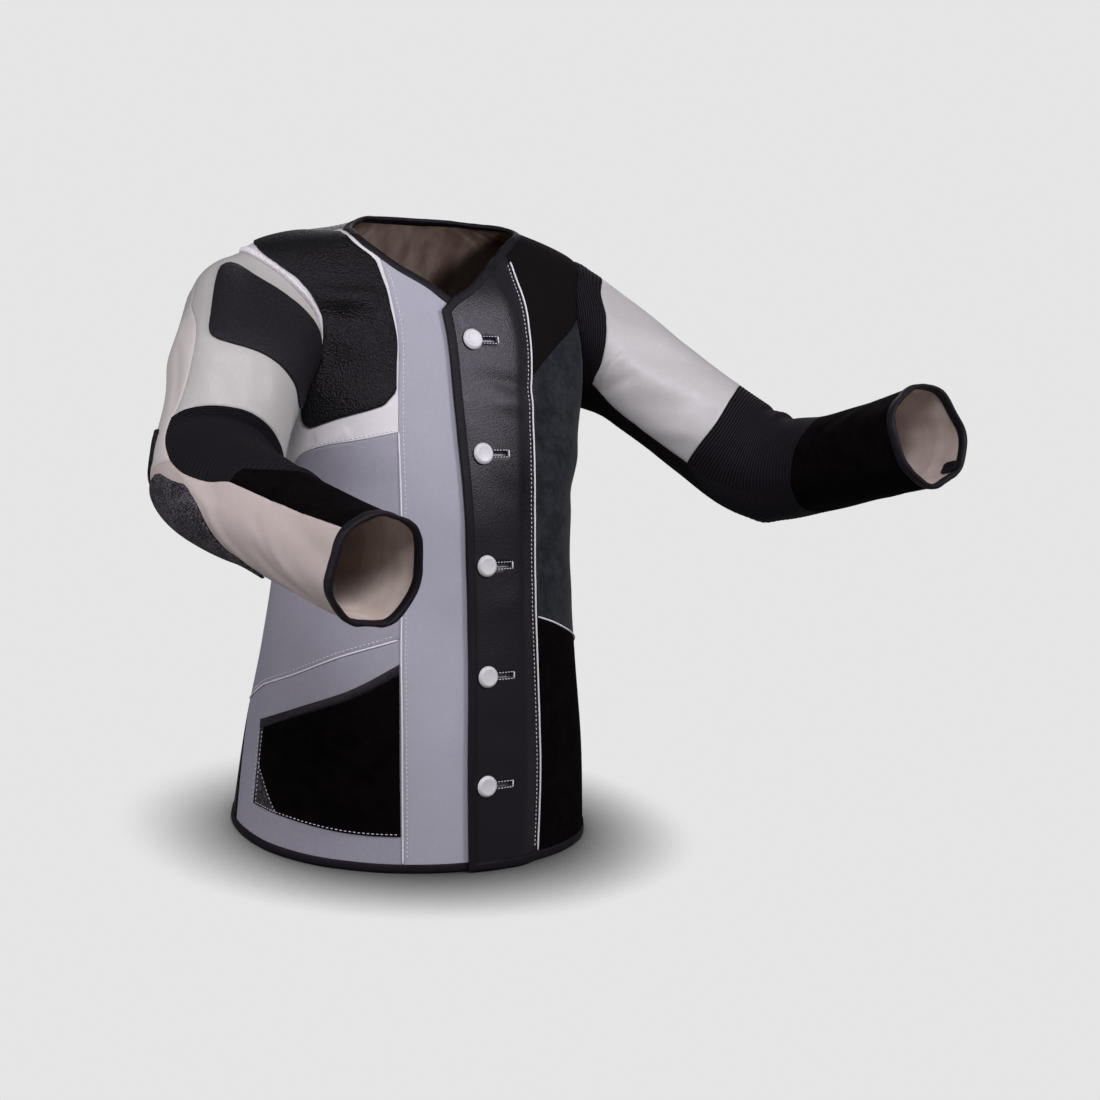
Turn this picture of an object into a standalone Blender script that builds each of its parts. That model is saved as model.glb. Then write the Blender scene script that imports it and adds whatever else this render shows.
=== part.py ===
"""Target-shooting jacket, a cut-and-sewn garment of leather, canvas and rib knit.

It stands on its hem as a filled-out hollow: torso tube, two bent sleeves, open neck and cuffs.
Metres, +Z up. The wearer would face -Y, so the wearer's left is +X.

The torso and each sleeve are one curved sheet. The seams, pad outlines and binding rows are
lines drawn on that sheet, the sheet is divided into triangles along them once, and every piece
is cut out of those triangles and given its own height above the sheet and its own thickness.
Neighbours therefore share their seam points, and a pad lies on its panel point for point.
"""
from collections import namedtuple
from math import cos, pi, radians, sin

import bmesh
import bpy
import numpy as np
from mathutils import Vector
from mathutils.geometry import delaunay_2d_cdt

# ------------------------------------------------------------------ driving sizes (metres)
CLOTH = 0.0020            # wall of a panel
PAD = 0.0024              # non-slip pads
PATCH = 0.0016            # pocket cloth
GAP = 0.0003              # between two pieces at a seam, and under whatever lies on a panel
TAPE = 0.0008             # leather tape of the bindings
BINDING = 0.0080          # width of a binding on each face
PIPING = 0.0015           # radius of the piping cord
HEM = GAP + TAPE + 0.0003  # height of the cloth's edge inside the hem binding
UNDERLAP = 12.0           # degrees that the right front runs on under the left
OVERLAP_LIFT = 0.0052     # the left front stands off the right one by this much
BUTTON_RADIUS = 0.0112
BUTTON_ANGLE = 0.05       # theta of the buttons, just left of the middle front
BUTTON_HEIGHT = 0.0046
SHANK_RADIUS = 0.0014
TOP_BUTTON = 0.535        # height of the first button
BUTTON_PITCH = 0.1115
BUTTONS = 5
HOLE_WIDTH = 0.0036
RISE_LEFT, RISE_RIGHT = 0.015, 0.006   # the shoulders are raised by this at x = 0.2
TORSO_CELL = (0.040, 0.048)
SLEEVE_CELL = (0.023, 0.044)
ARMHOLE_STEP = 15         # degrees between the points that a sleeve shares with the torso

# ------------------------------------------------------------------ form tables
# Level sections of the torso, hem to neck. half_width is across, front and back are the depths
# from the section's middle, square is the exponent of its superellipse.
Section = namedtuple("Section", "z half_width front back middle_x middle_y square")
TORSO = (
    Section(0.000, 0.196, 0.161, 0.170, 0.000, -0.022, 2.15),
    Section(0.100, 0.187, 0.157, 0.152, 0.000, -0.017, 2.15),
    Section(0.200, 0.173, 0.148, 0.130, 0.000, -0.010, 2.15),
    Section(0.300, 0.163, 0.139, 0.116, 0.000, 0.001, 2.20),
    Section(0.400, 0.169, 0.133, 0.112, 0.000, 0.017, 2.25),
    Section(0.480, 0.183, 0.121, 0.111, 0.000, 0.033, 2.30),
    Section(0.540, 0.195, 0.105, 0.104, 0.000, 0.042, 2.30),
    Section(0.580, 0.202, 0.092, 0.092, -0.006, 0.049, 2.20),
    Section(0.605, 0.191, 0.076, 0.080, -0.010, 0.052, 2.10),
    Section(0.625, 0.149, 0.062, 0.071, -0.006, 0.052, 2.00),
    Section(0.640, 0.102, 0.050, 0.064, 0.000, 0.050, 2.00),
    Section(0.650, 0.070, 0.040, 0.056, 0.000, 0.047, 2.00),
)

# An armhole is a closed superellipse round theta = 90 on the torso. slant_front pushes its
# upper front forward and its lower front back.
Armhole = namedtuple("Armhole", "z half_height half_angle square slant_front slant_back")
ARMHOLES = {"left": Armhole(0.528, 0.075, 39.0, 2.2, 0.36, 0.10),
            "right": Armhole(0.519, 0.080, 39.0, 2.0, 0.30, 0.10)}

# Middle line of each sleeve, from the armhole to the cuff, and its section there:
# across lies front to back, along lies top to bottom.
Joint = namedtuple("Joint", "x y z across along")
SLEEVES = {
    "left": (
        Joint(None, None, None, 0.066, 0.066),
        Joint(0.181, 0.014, 0.529, 0.065, 0.066),
        Joint(0.242, -0.037, 0.489, 0.063, 0.064),
        Joint(0.293, -0.095, 0.450, 0.060, 0.062),
        Joint(0.326, -0.158, 0.421, 0.057, 0.060),
        Joint(0.346, -0.225, 0.430, 0.052, 0.053),
        Joint(0.358, -0.298, 0.460, 0.050, 0.050),
        Joint(0.366, -0.373, 0.491, 0.0505, 0.052),
    ),
    "right": (
        Joint(None, None, None, 0.066, 0.070),
        Joint(-0.227, -0.018, 0.516, 0.071, 0.078),
        Joint(-0.257, -0.053, 0.461, 0.068, 0.070),
        Joint(-0.279, -0.084, 0.408, 0.065, 0.066),
        Joint(-0.291, -0.133, 0.392, 0.061, 0.061),
        Joint(-0.276, -0.200, 0.384, 0.053, 0.053),
        Joint(-0.253, -0.282, 0.373, 0.050, 0.051),
        Joint(-0.236, -0.366, 0.366, 0.0495, 0.0535),
    ),
}
SIDE = {"left": 1, "right": -1}
SEAM_START = {"left": -30, "right": -60}   # where the long sleeve seam leaves the armhole
BLEND = 0.26              # share of a sleeve over which the armhole's shape turns into a tube
LEAVE = 0.50              # least rise of the sleeve off the torso as it leaves the armhole


# ------------------------------------------------------------------ curves and surfaces
def smooth(x):
    """0 to 1 with soft ends."""
    x = np.clip(x, 0, 1)
    return x * x * (3 - 2 * x)


def curve(knots, values, x):
    """Smooth curve through the values at the knots, without overshoot between even ones."""
    knots, values, x = (np.asarray(a, float) for a in (knots, values, x))
    step = np.diff(knots)
    rise = np.diff(values) / step
    slope = np.concatenate([rise[:1], (rise[:-1] * step[1:] + rise[1:] * step[:-1])
                            / (step[:-1] + step[1:]), rise[-1:]])
    i = np.clip(np.searchsorted(knots, x, side="right") - 1, 0, len(knots) - 2)
    t = (x - knots[i]) / step[i]
    return ((2 * t**3 - 3 * t**2 + 1) * values[i] + (t**3 - 2 * t**2 + t) * step[i] * slope[i]
            + (3 * t**2 - 2 * t**3) * values[i + 1] + (t**3 - t**2) * step[i] * slope[i + 1])


def power(x, exponent):
    """Signed power, for superellipses."""
    return np.sign(x) * np.abs(x) ** exponent


def torso(theta, z):
    """Point of the torso. theta is in degrees from the middle front towards the wearer's left."""
    heights = [row.z for row in TORSO]
    half_width, front, back, middle_x, middle_y, square = (
        curve(heights, [row[k] for row in TORSO], z) for k in range(1, 7))
    s, c = np.sin(np.radians(theta)), np.cos(np.radians(theta))
    x = middle_x + half_width * power(s, 2 / square)
    y = middle_y - np.where(c > 0, front, back) * power(c, 2 / square)
    rise = np.where(x > 0, RISE_LEFT, RISE_RIGHT) * (x / 0.2) ** 2 * smooth((z - 0.30) / 0.28)
    return np.stack([x, y, z + rise], -1)


def normal(place, u, v, du=0.5, dv=0.002):
    """Unit normals of a surface from small steps along it."""
    along_u = place(u + du, v) - place(u - du, v)
    along_v = place(u, v + dv) - place(u, v - dv)
    n = np.cross(along_u, along_v)
    return n / np.linalg.norm(n, axis=-1, keepdims=True)


def body(t, z):
    """The torso with its front overlap: t runs from the left front's edge, round the back, to
    360 + UNDERLAP at the right front's edge, and the left front stands off the right one."""
    t, z = np.broadcast_arrays(np.asarray(t, float), np.asarray(z, float))
    lift = OVERLAP_LIFT * (1 - smooth((t - UNDERLAP) / 8.0))
    return torso(t, z) + normal(torso, t, z) * lift[..., None]


def armhole(side, phi):
    """(theta, z) of the armhole. phi: 0 front, 90 top, 180 back, 270 under the arm."""
    a = ARMHOLES[side]
    c, s = (power(f(np.radians(phi)), 2 / a.square) for f in (np.cos, np.sin))
    slant = np.where(c > 0, a.slant_front, a.slant_back)
    theta = 90 - a.half_angle * c * (1 + slant * s)
    return SIDE[side] * theta, a.z + a.half_height * s


class Sleeve:
    """Tube surface from the armhole to the cuff: (phi, v), with v from 0 to 1."""

    def __init__(self, side, steps=80):
        self.side = side
        joints = SLEEVES[side]
        self.start = torso(*armhole(side, np.arange(0, 360, 5.0))).mean(0)
        knots = np.array([self.start] + [joint[:3] for joint in joints[1:]], float)
        reach = np.concatenate([[0], np.cumsum(np.linalg.norm(np.diff(knots, axis=0), axis=1))])
        at = np.linspace(0, reach[-1], steps)
        self.line = np.stack([curve(reach, knots[:, k], at) for k in range(3)], -1)
        run = np.concatenate([[0], np.cumsum(np.linalg.norm(np.diff(self.line, axis=0), axis=1))])
        self.length = run[-1]
        self.v = run / run[-1]
        self.stations = np.linspace(0, 1, len(joints))
        self.across = [joint.across for joint in joints]
        self.along = [joint.along for joint in joints]
        self.up, self.front = self.frames()

    def frames(self):
        """Directions up and front of every section, turned as little as the bends allow."""
        tangents = np.gradient(self.line, axis=0)
        tangents /= np.linalg.norm(tangents, axis=1)[:, None]
        last = Vector((SIDE[self.side], 0, 0))
        up = Vector((0, 0, 1))
        ups = []
        for tangent in tangents:
            up = last.rotation_difference(Vector(tangent)) @ up
            last = Vector(tangent)
            up = (up - up.project(last)).normalized()
            ups.append(up.copy())
        ups = np.array(ups)
        return ups, np.cross(tangents, ups) * SIDE[self.side]

    def tube(self, phi, v):
        """The plain tube round the middle line."""
        phi, v = np.broadcast_arrays(np.asarray(phi, float), np.asarray(v, float))
        middle, up, front = (np.stack([np.interp(v, self.v, a[:, k]) for k in range(3)], -1)
                             for a in (self.line, self.up, self.front))
        across = curve(self.stations, self.across, v) * np.cos(np.radians(phi))
        along = curve(self.stations, self.along, v) * np.sin(np.radians(phi))
        return middle + front * across[..., None] + up * along[..., None]

    def __call__(self, phi, v):
        """The tube, with a crown that leaves the armhole outwards and runs into it."""
        phi, v = np.broadcast_arrays(np.asarray(phi, float), np.asarray(v, float))
        hole = armhole(self.side, phi)
        start, end = torso(*hole), self.tube(phi, BLEND)
        reach = np.linalg.norm(end - start, axis=-1, keepdims=True)
        leave = (end - start) / reach
        out = normal(torso, *hole)
        leave = leave + out * np.maximum(LEAVE - (leave * out).sum(-1, keepdims=True), 0)
        arrive = (self.tube(phi, BLEND + 0.01) - self.tube(phi, BLEND - 0.01)) / 0.02 * BLEND
        t = np.minimum(v / BLEND, 1)[..., None]
        crown = ((2 * t**3 - 3 * t**2 + 1) * start + (t**3 - 2 * t**2 + t) * reach * leave
                 + (3 * t**2 - 2 * t**3) * end + (t**3 - t**2) * arrive)
        return np.where(v[..., None] < BLEND, crown, self.tube(phi, v))


# ------------------------------------------------------------------ sheets divided into triangles
class Sheet:
    """A surface with lines drawn on it, divided into triangles along them.

    A line has a kind: rim (where the sheet ends), seam, pad (an outline that only the pieces on
    top follow), row (inner edge of a binding), cut (where two bindings meet) or guide (points
    that a layer shares with the one below it)."""

    def __init__(self, place, flatten, unflatten, cell, sign=1):
        self.place, self.flatten, self.unflatten = place, flatten, unflatten
        self.cell, self.sign = cell, sign
        self.lines, self.kinds, self.joints = {}, {}, {}

    def through(self, uv):
        """Direction out of the sheet at points of it."""
        n = normal(self.place, uv[:, 0], uv[:, 1]) * self.sign
        for i, point in enumerate(uv):
            n[i] = self.joints.get(tuple(np.round(point, 4)), n[i])
        return n

    def trace(self, knots, step=None):
        """Smooth line through the knots, with points a cell apart and one on every knot."""
        knots = np.array(knots, float)
        flat = self.flatten(knots)
        legs = np.linalg.norm(np.diff(flat, axis=0), axis=1)
        at = np.concatenate([[0], np.cumsum(legs)])
        step = step or self.cell[0]
        marks = [np.linspace(a, b, max(int(np.ceil((b - a) / step)), 1), endpoint=False)
                 for a, b in zip(at, at[1:])]
        marks = np.concatenate(marks + [at[-1:]])
        return np.stack([curve(at, knots[:, k], marks) for k in range(2)], -1)

    def draw(self, name, kind, points):
        """Adds a line. Its points are kept as they are."""
        self.lines[name] = np.array(points, float)
        self.kinds[name] = kind
        return self.lines[name]

    def inset(self, line, distance):
        """The line moved over the sheet to its own left."""
        at = self.place(line[:, 0], line[:, 1])
        out = normal(self.place, line[:, 0], line[:, 1])
        runs = np.diff(at, axis=0)
        sides = np.cross(out[:-1] + out[1:], runs)
        sides /= np.linalg.norm(sides, axis=1)[:, None]
        before = np.concatenate([sides[:1], sides])
        after = np.concatenate([sides, sides[-1:]])
        move = (before + after) / (1 + (before * after).sum(1))[:, None] * distance
        du, dv = 0.2, 0.001
        moved = []
        for (u, v), step in zip(line, move):
            slopes = np.stack([(self.place(u + du, v) - self.place(u - du, v)) / (2 * du),
                               (self.place(u, v + dv) - self.place(u, v - dv)) / (2 * dv)], -1)
            moved.append(np.array([u, v]) + np.linalg.lstsq(slopes, step, rcond=None)[0])
        return np.array(moved)

    def divide(self, lower, upper):
        """Makes the triangles, with a lattice of points between the corners (u, v) given."""
        points = np.concatenate(list(self.lines.values()))
        pairs, owner = [], []
        start = 0
        for name, line in self.lines.items():
            pairs += [(start + i, start + i + 1) for i in range(len(line) - 1)]
            owner += [name] * (len(line) - 1)
            start += len(line)
        flat = self.flatten(points)
        ends = np.array(pairs)
        (x0, y0), (x1, y1) = self.flatten(np.array([lower, upper], float))
        lattice = np.array([(x, y) for y in np.arange(y0, y1, self.cell[1])
                            for x in np.arange(x0, x1, self.cell[0])])
        free = [p for p in lattice
                if distance_to(flat[ends[:, 0]], flat[ends[:, 1]], p) > 0.45 * self.cell[0]]
        result = delaunay_2d_cdt([Vector(p) for p in np.concatenate([flat, free])],
                                 pairs, [], 0, 1e-5)
        verts, edges, self.faces, vert_source, edge_source, _ = result
        self.uv = self.unflatten(np.array([tuple(v) for v in verts]))
        for i, source in enumerate(vert_source):
            known = [k for k in source if k < len(points)]
            if known:
                self.uv[i] = points[known[0]]
        self.base = self.place(self.uv[:, 0], self.uv[:, 1])
        self.out = self.through(self.uv)
        self.marks = {frozenset(edge): {owner[k] for k in source if k < len(owner)}
                      for edge, source in zip(edges, edge_source)}
        self.sides = {}
        for i, face in enumerate(self.faces):
            for edge in ring(face):
                self.sides.setdefault(frozenset(edge), []).append(i)

    def area(self, seed, stops):
        """Triangles round the point seed, as far as the lines of the kinds in stops."""
        flat = self.flatten(self.uv)
        spot = self.flatten(np.array([seed], float))[0]
        start = next(i for i, face in enumerate(self.faces) if holds(flat[list(face)], spot))
        found, waiting = {start}, [start]
        while waiting:
            for edge in ring(self.faces[waiting.pop()]):
                edge = frozenset(edge)
                if {self.kinds[name] for name in self.marks[edge]} & set(stops):
                    continue
                for other in self.sides[edge]:
                    if other not in found:
                        found.add(other)
                        waiting.append(other)
        return [self.faces[i] for i in sorted(found)]

    def inward(self, border):
        """Mitred unit moves of the border's points, at right angles to their own edges."""
        pulls = {}
        for a, b, c in border:
            through = self.out[a] + self.out[b]
            pull = np.cross(through, self.base[b] - self.base[a])
            pull /= np.linalg.norm(pull)
            if pull @ (self.base[c] - self.base[a]) < 0:
                pull = -pull
            for i in (a, b):
                pulls.setdefault(i, []).append(pull)
        return {i: sum(p) / max(1 + p[0] @ p[-1], 0.5) if len(p) > 1 else p[0]
                for i, p in pulls.items()}


def ring(face):
    """The edges round a face."""
    return list(zip(face, face[1:] + face[:1]))


def border_of(faces):
    """Edges that belong to one face only, each with that face's third point."""
    seen = {}
    for face in faces:
        for k, (a, b) in enumerate(ring(face)):
            seen.setdefault(frozenset((a, b)), []).append((a, b, face[(k + 2) % 3]))
    return [found[0] for found in seen.values() if len(found) == 1]


def distance_to(starts, ends, point):
    """Distance from a point to the nearest of many stretches."""
    run = ends - starts
    share = np.clip(((point - starts) * run).sum(1) / (run**2).sum(1), 0, 1)
    return np.linalg.norm(starts + run * share[:, None] - point, axis=1).min()


def holds(corners, point):
    """Whether a triangle in the plane holds a point."""
    (ax, ay), (bx, by), (cx, cy) = corners - point
    turns = (ax * by - ay * bx, bx * cy - by * cx, cx * ay - cy * ax)
    return min(turns) >= 0 or max(turns) <= 0


# ------------------------------------------------------------------ solids cut from a sheet
PARTS = {}
SLOPING = (1, 2, 4)       # a direction in which no two neighbouring seam points are level


def add_object(name, points, faces, material):
    """One closed solid as an object, with its faces pointing out."""
    mesh = bpy.data.meshes.new(name)
    mesh.from_pydata([tuple(map(float, p)) for p in points], [], faces)
    work = bmesh.new()
    work.from_mesh(mesh)
    bmesh.ops.recalc_face_normals(work, faces=work.faces)
    work.to_mesh(mesh)
    work.free()
    mesh.materials.append(MATERIALS[material])
    thing = bpy.data.objects.new(name, mesh)
    bpy.context.scene.collection.objects.link(thing)
    PARTS[name] = thing
    return thing


def slab(name, material, sheet, seed, lift=0.0, thickness=CLOTH, stops=("rim", "seam")):
    """A piece of cloth: the sheet round the seed, its outer face at the height lift."""
    faces = sheet.area(seed, stops)
    border = border_of(faces)
    pull = sheet.inward(border)
    used = sorted({i for face in faces for i in face})
    place = {i: k for k, i in enumerate(used)}
    shift = np.array([pull.get(i, np.zeros(3)) for i in used]) * (GAP / 2)
    outer = sheet.base[used] + sheet.out[used] * lift + shift
    inner = outer - sheet.out[used] * thickness
    n = len(used)
    shell = [[place[i] for i in face] for face in faces]
    shell += [[place[i] + n for i in reversed(face)] for face in faces]
    for a, b, _ in border:    # both walls of a seam are split along the same diagonal
        low, high = (place[i] for i in sorted((a, b), key=lambda i: sheet.base[i] @ SLOPING))
        shell += [[low, high, high + n], [low, high + n, low + n]]
    return add_object(name, np.concatenate([outer, inner]), shell, material)


def binding(name, material, sheet, seed, rims, flat_foot=False):
    """A tape folded over the sheet's edge: a channel with a leg on each face of the cloth.

    rims names all the lines that carry a binding, so that two of them meet in a mitre."""
    strip = border_of(sheet.area(seed, ("rim", "row")))
    fold = sheet.inward([edge for edge in strip if sheet.marks[frozenset(edge[:2])] & set(rims)])
    faces = sheet.area(seed, ("rim", "row", "cut"))
    border = border_of(faces)
    folded = [edge for edge in border if sheet.marks[frozenset(edge[:2])] & set(rims)]
    legs = [edge for edge in border if edge not in folded]
    ends = [edge for edge in legs if not any(sheet.kinds[mark] == "row"
                                             for mark in sheet.marks[frozenset(edge[:2])])]
    pull = sheet.inward(ends)
    used = sorted({i for face in faces for i in face})
    place = {i: k for k, i in enumerate(used)}
    beyond = np.array([-fold.get(i, np.zeros(3)) for i in used])
    shift = np.array([pull.get(i, np.zeros(3)) for i in used]) * (GAP / 2)
    foot = [place[i] for i in used if i in fold and sheet.uv[i][1] < HEM + 1e-6]
    layers = []
    for lift, reach in ((GAP + TAPE, GAP + TAPE), (GAP, GAP), (-CLOTH - GAP, GAP),
                        (-CLOTH - GAP - TAPE, GAP + TAPE)):
        points = sheet.base[used] + sheet.out[used] * lift + beyond * reach + shift
        if flat_foot and reach > GAP:
            points[foot, 2] = 0
        layers.append(points)
    n = len(used)
    shell = []
    for k in range(4):
        for face in faces:
            corners = [place[i] + k * n for i in face]
            shell.append(corners[::-1] if k % 2 else corners)
    for a, b, _ in folded:
        a, b = place[a], place[b]
        shell += [[b, a, a + 3 * n, b + 3 * n], [a + n, b + n, b + 2 * n, a + 2 * n]]
    for a, b, _ in legs:
        a, b = place[a], place[b]
        shell += [[b, a, a + n, b + n], [b + 2 * n, a + 2 * n, a + 3 * n, b + 3 * n]]
    corners = [i for edge in folded for i in edge[:2]]
    for i in (place[i] for i in set(corners) if corners.count(i) == 1):
        shell.append([i, i + n, i + 2 * n, i + 3 * n])
    return add_object(name, np.concatenate(layers), shell, material)


def cord(name, material, sheet, line, lower, upper, key, trim=(0.0004, 0.0004)):
    """Piping on a seam: a tube along a line's points whose u or v (key 0 or 1) lies between
    lower and upper, shortened at each end by trim."""
    edges = [tuple(edge) for edge, names in sheet.marks.items() if line in names]
    used = sorted({i for edge in edges for i in edge}, key=lambda i: sheet.uv[i][key])
    used = [i for i in used if lower - 1e-4 <= sheet.uv[i][key] <= upper + 1e-4]
    path = sheet.base[used] + sheet.out[used] * (PIPING + GAP + 0.0001)
    for end, step, cut in ((0, 1, trim[0]), (-1, -2, trim[1])):
        run = path[end + step if end == 0 else step] - path[end]
        path[end] += run / np.linalg.norm(run) * cut
    return tube(name, material, path, PIPING, sheet.out[used])


def tube(name, material, path, radius, out, sides=6):
    """A closed tube along a path, with a corner of its section towards out."""
    points, shell = [], []
    for k, middle in enumerate(path):
        run = path[min(k + 1, len(path) - 1)] - path[max(k - 1, 0)]
        across = np.cross(run, out[k])
        across /= np.linalg.norm(across)
        up = np.cross(across, run / np.linalg.norm(run))
        for s in range(sides):
            a = 2 * pi * (s + 0.5) / sides
            points.append(middle + (across * cos(a) + up * sin(a)) * radius)
    for k in range(len(path) - 1):
        for s in range(sides):
            a, b = k * sides + s, k * sides + (s + 1) % sides
            shell.append([a, b, b + sides, a + sides])
    shell.append(list(range(sides)))
    shell.append([len(points) - sides + s for s in range(sides)])
    return add_object(name, points, shell, material)


# ------------------------------------------------------------------ colours
Finish = namedtuple("Finish", "color roughness")
FINISHES = {
    "front_canvas": Finish((0.46, 0.47, 0.54), 0.75),
    "side_canvas": Finish((0.36, 0.38, 0.45), 0.75),
    "white_leather": Finish((0.72, 0.71, 0.70), 0.45),
    "grey_leather": Finish((0.42, 0.42, 0.40), 0.40),
    "off_white_leather": Finish((0.62, 0.57, 0.54), 0.45),
    "beige_leather": Finish((0.47, 0.42, 0.39), 0.50),
    "silver_leather": Finish((0.48, 0.46, 0.47), 0.35),
    "black_leather": Finish((0.024, 0.022, 0.026), 0.40),
    "black_canvas": Finish((0.010, 0.008, 0.009), 0.85),
    "slate_suede": Finish((0.024, 0.030, 0.034), 0.95),
    "black_suede": Finish((0.006, 0.004, 0.005), 0.95),
    "black_rib": Finish((0.011, 0.010, 0.013), 0.80),
    "pebbled_pad": Finish((0.020, 0.018, 0.023), 0.50),
    "speckled_pad": Finish((0.060, 0.058, 0.062), 0.70),
    "binding_leather": Finish((0.012, 0.010, 0.013), 0.45),
    "white_cord": Finish((0.74, 0.73, 0.78), 0.60),
    "white_plastic": Finish((0.78, 0.78, 0.80), 0.25),
}
MATERIALS = {}


def make_materials():
    for name, finish in FINISHES.items():
        material = bpy.data.materials.new(name)
        material.use_nodes = True
        shader = material.node_tree.nodes["Principled BSDF"]
        shader.inputs["Base Color"].default_value = (*finish.color, 1)
        shader.inputs["Roughness"].default_value = finish.roughness
        shader.inputs["Metallic"].default_value = 0
        MATERIALS[name] = material


# ------------------------------------------------------------------ torso: seams and outlines
# Each knot is (t, z). Right-hand lines are given at 360 - their angle from the middle front.
PLACKET_CORNER = (-5.5, 0.563)
PIPING_TOP = (29.5, 0.627)
HEM_CORNER = (-3.4, HEM)
PRINCESS_TOP = (334.5, 0.617)
UNDERLAP_TOP = (360 + UNDERLAP, 0.556)
LEFT_SIDE, RIGHT_SIDE = 110.0, 250.0
UNDERARM = 240            # phi where a side seam meets its armhole

NECK = (UNDERLAP_TOP, (358.5, 0.575), (353.5, 0.590), (344.5, 0.605), PRINCESS_TOP,
        (325.5, 0.624), (312.5, 0.632), (298, 0.638), (270, 0.643), (240, 0.646), (180, 0.647),
        (120, 0.646), (90, 0.643), (60, 0.638), (40, 0.633), PIPING_TOP)
PLACKET_TOP = (PIPING_TOP, (16.5, 0.612), (4.5, 0.588), (-1.5, 0.5755), PLACKET_CORNER)
PLACKET_FRONT = (PLACKET_CORNER, (-6.2, 0.45), (-5.6, 0.25), (-5.0, 0.10), HEM_CORNER)
HEM_LINE = (HEM_CORNER, (4, HEM), (UNDERLAP, HEM), (20.5, HEM), (60, HEM), (LEFT_SIDE, HEM),
            (180, HEM), (RIGHT_SIDE, HEM), (300, HEM), (336.5, HEM), (356.6, HEM), (364, HEM),
            (360 + UNDERLAP, HEM))
LEFT_FRONT_SEAM = ((20.5, HEM), (21.2, 0.17), (21.5, 0.257), (21.6, 0.32), (20.8, 0.41),
                   (19.5, 0.498), (20, 0.55), (22, 0.59), PIPING_TOP)
PRINCESS = ((336.5, HEM), (333.5, 0.12), (330.6, 0.238), (331, 0.36), (333.6, 0.442),
            (335.6, 0.474), (338.8, 0.53), (339.3, 0.575), (337.4, 0.600), PRINCESS_TOP)
CHEST_BAND = ((333.6, 0.442), (316.5, 0.430), (301, 0.420), (287, 0.407), (276.5, 0.389),
              (262, 0.375), (250.3, 0.368))
RIGHT_DIAGONAL = ((330.6, 0.238), (308, 0.213), (286, 0.180), (268, 0.157), (RIGHT_SIDE, 0.132))
LEFT_SUEDE_FOOT = ((21.5, 0.257), (30.5, 0.249), (42, 0.237), (61, 0.217), (85, 0.190),
                   (LEFT_SIDE, 0.165))
SHOULDER_PAD = ((335.2, 0.474), (329.5, 0.4655), (322.5, 0.460), (310.5, 0.4495), (297.5, 0.4365),
                (294.0, 0.4365), (292.5, 0.4430), (293.2, 0.4520), (298.2, 0.4705), (303.5, 0.490),
                (307.7, 0.505), (311.0, 0.5215), (312.3, 0.5345), (312.8, 0.547), (312.2, 0.5585),
                (310.5, 0.569), (306.0, 0.5795), (297.0, 0.590), (287.0, 0.5965), (276.0, 0.6035),
                (264.0, 0.6065), (262.0, 0.6110), (262.0, 0.630), (279.0, 0.6335), (288.0, 0.6330),
                (299.0, 0.6290), (312.0, 0.6220), (328.0, 0.6115), (334.6, 0.6015), (338.6, 0.575),
                (338.2, 0.53), (335.2, 0.474))
POCKET_TOP = ((329.2, 0.213), (314, 0.184), (294.5, 0.158), (270, 0.126))
POCKET_TAPE_FOOT = ((329.4, 0.2025), (314, 0.174), (294.5, 0.1485), (270.8, 0.1165))
POCKET_FOOT = ((274, 0.040), (289, 0.041), (306, 0.039), (320, 0.037), (332.6, 0.038))
POCKET_CORNER = ((272.4, 0.086), (289, 0.041))
ZIP_EDGE = ((273.2, 0.1215), (274.8, 0.0770))   # crosses the lines at both its ends

BUTTONHOLE = ((-0.0022, 0.0), (-0.0012, 1.0), (0.0285, 1.0), (0.0295, 0.0), (0.0285, -1.0),
              (-0.0012, -1.0))   # x from the button, share of half the width


def seam_through(side, phi):
    """Direction between the torso's and the sleeve's outward ones at the armhole, as long as
    keeps both walls at their thickness."""
    theta, z = armhole(side, phi)
    a = normal(torso, np.array([theta]), np.array([z]))[0]
    sleeve = SURFACES[side]
    b = normal(sleeve, np.array([float(phi)]), np.array([0.004]))[0] * -SIDE[side]
    middle = (a + b) / np.linalg.norm(a + b)
    return middle / max(middle @ a, 0.7)


def armhole_angles(side):
    return np.arange(SEAM_START[side], SEAM_START[side] + 361, ARMHOLE_STEP)


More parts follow.
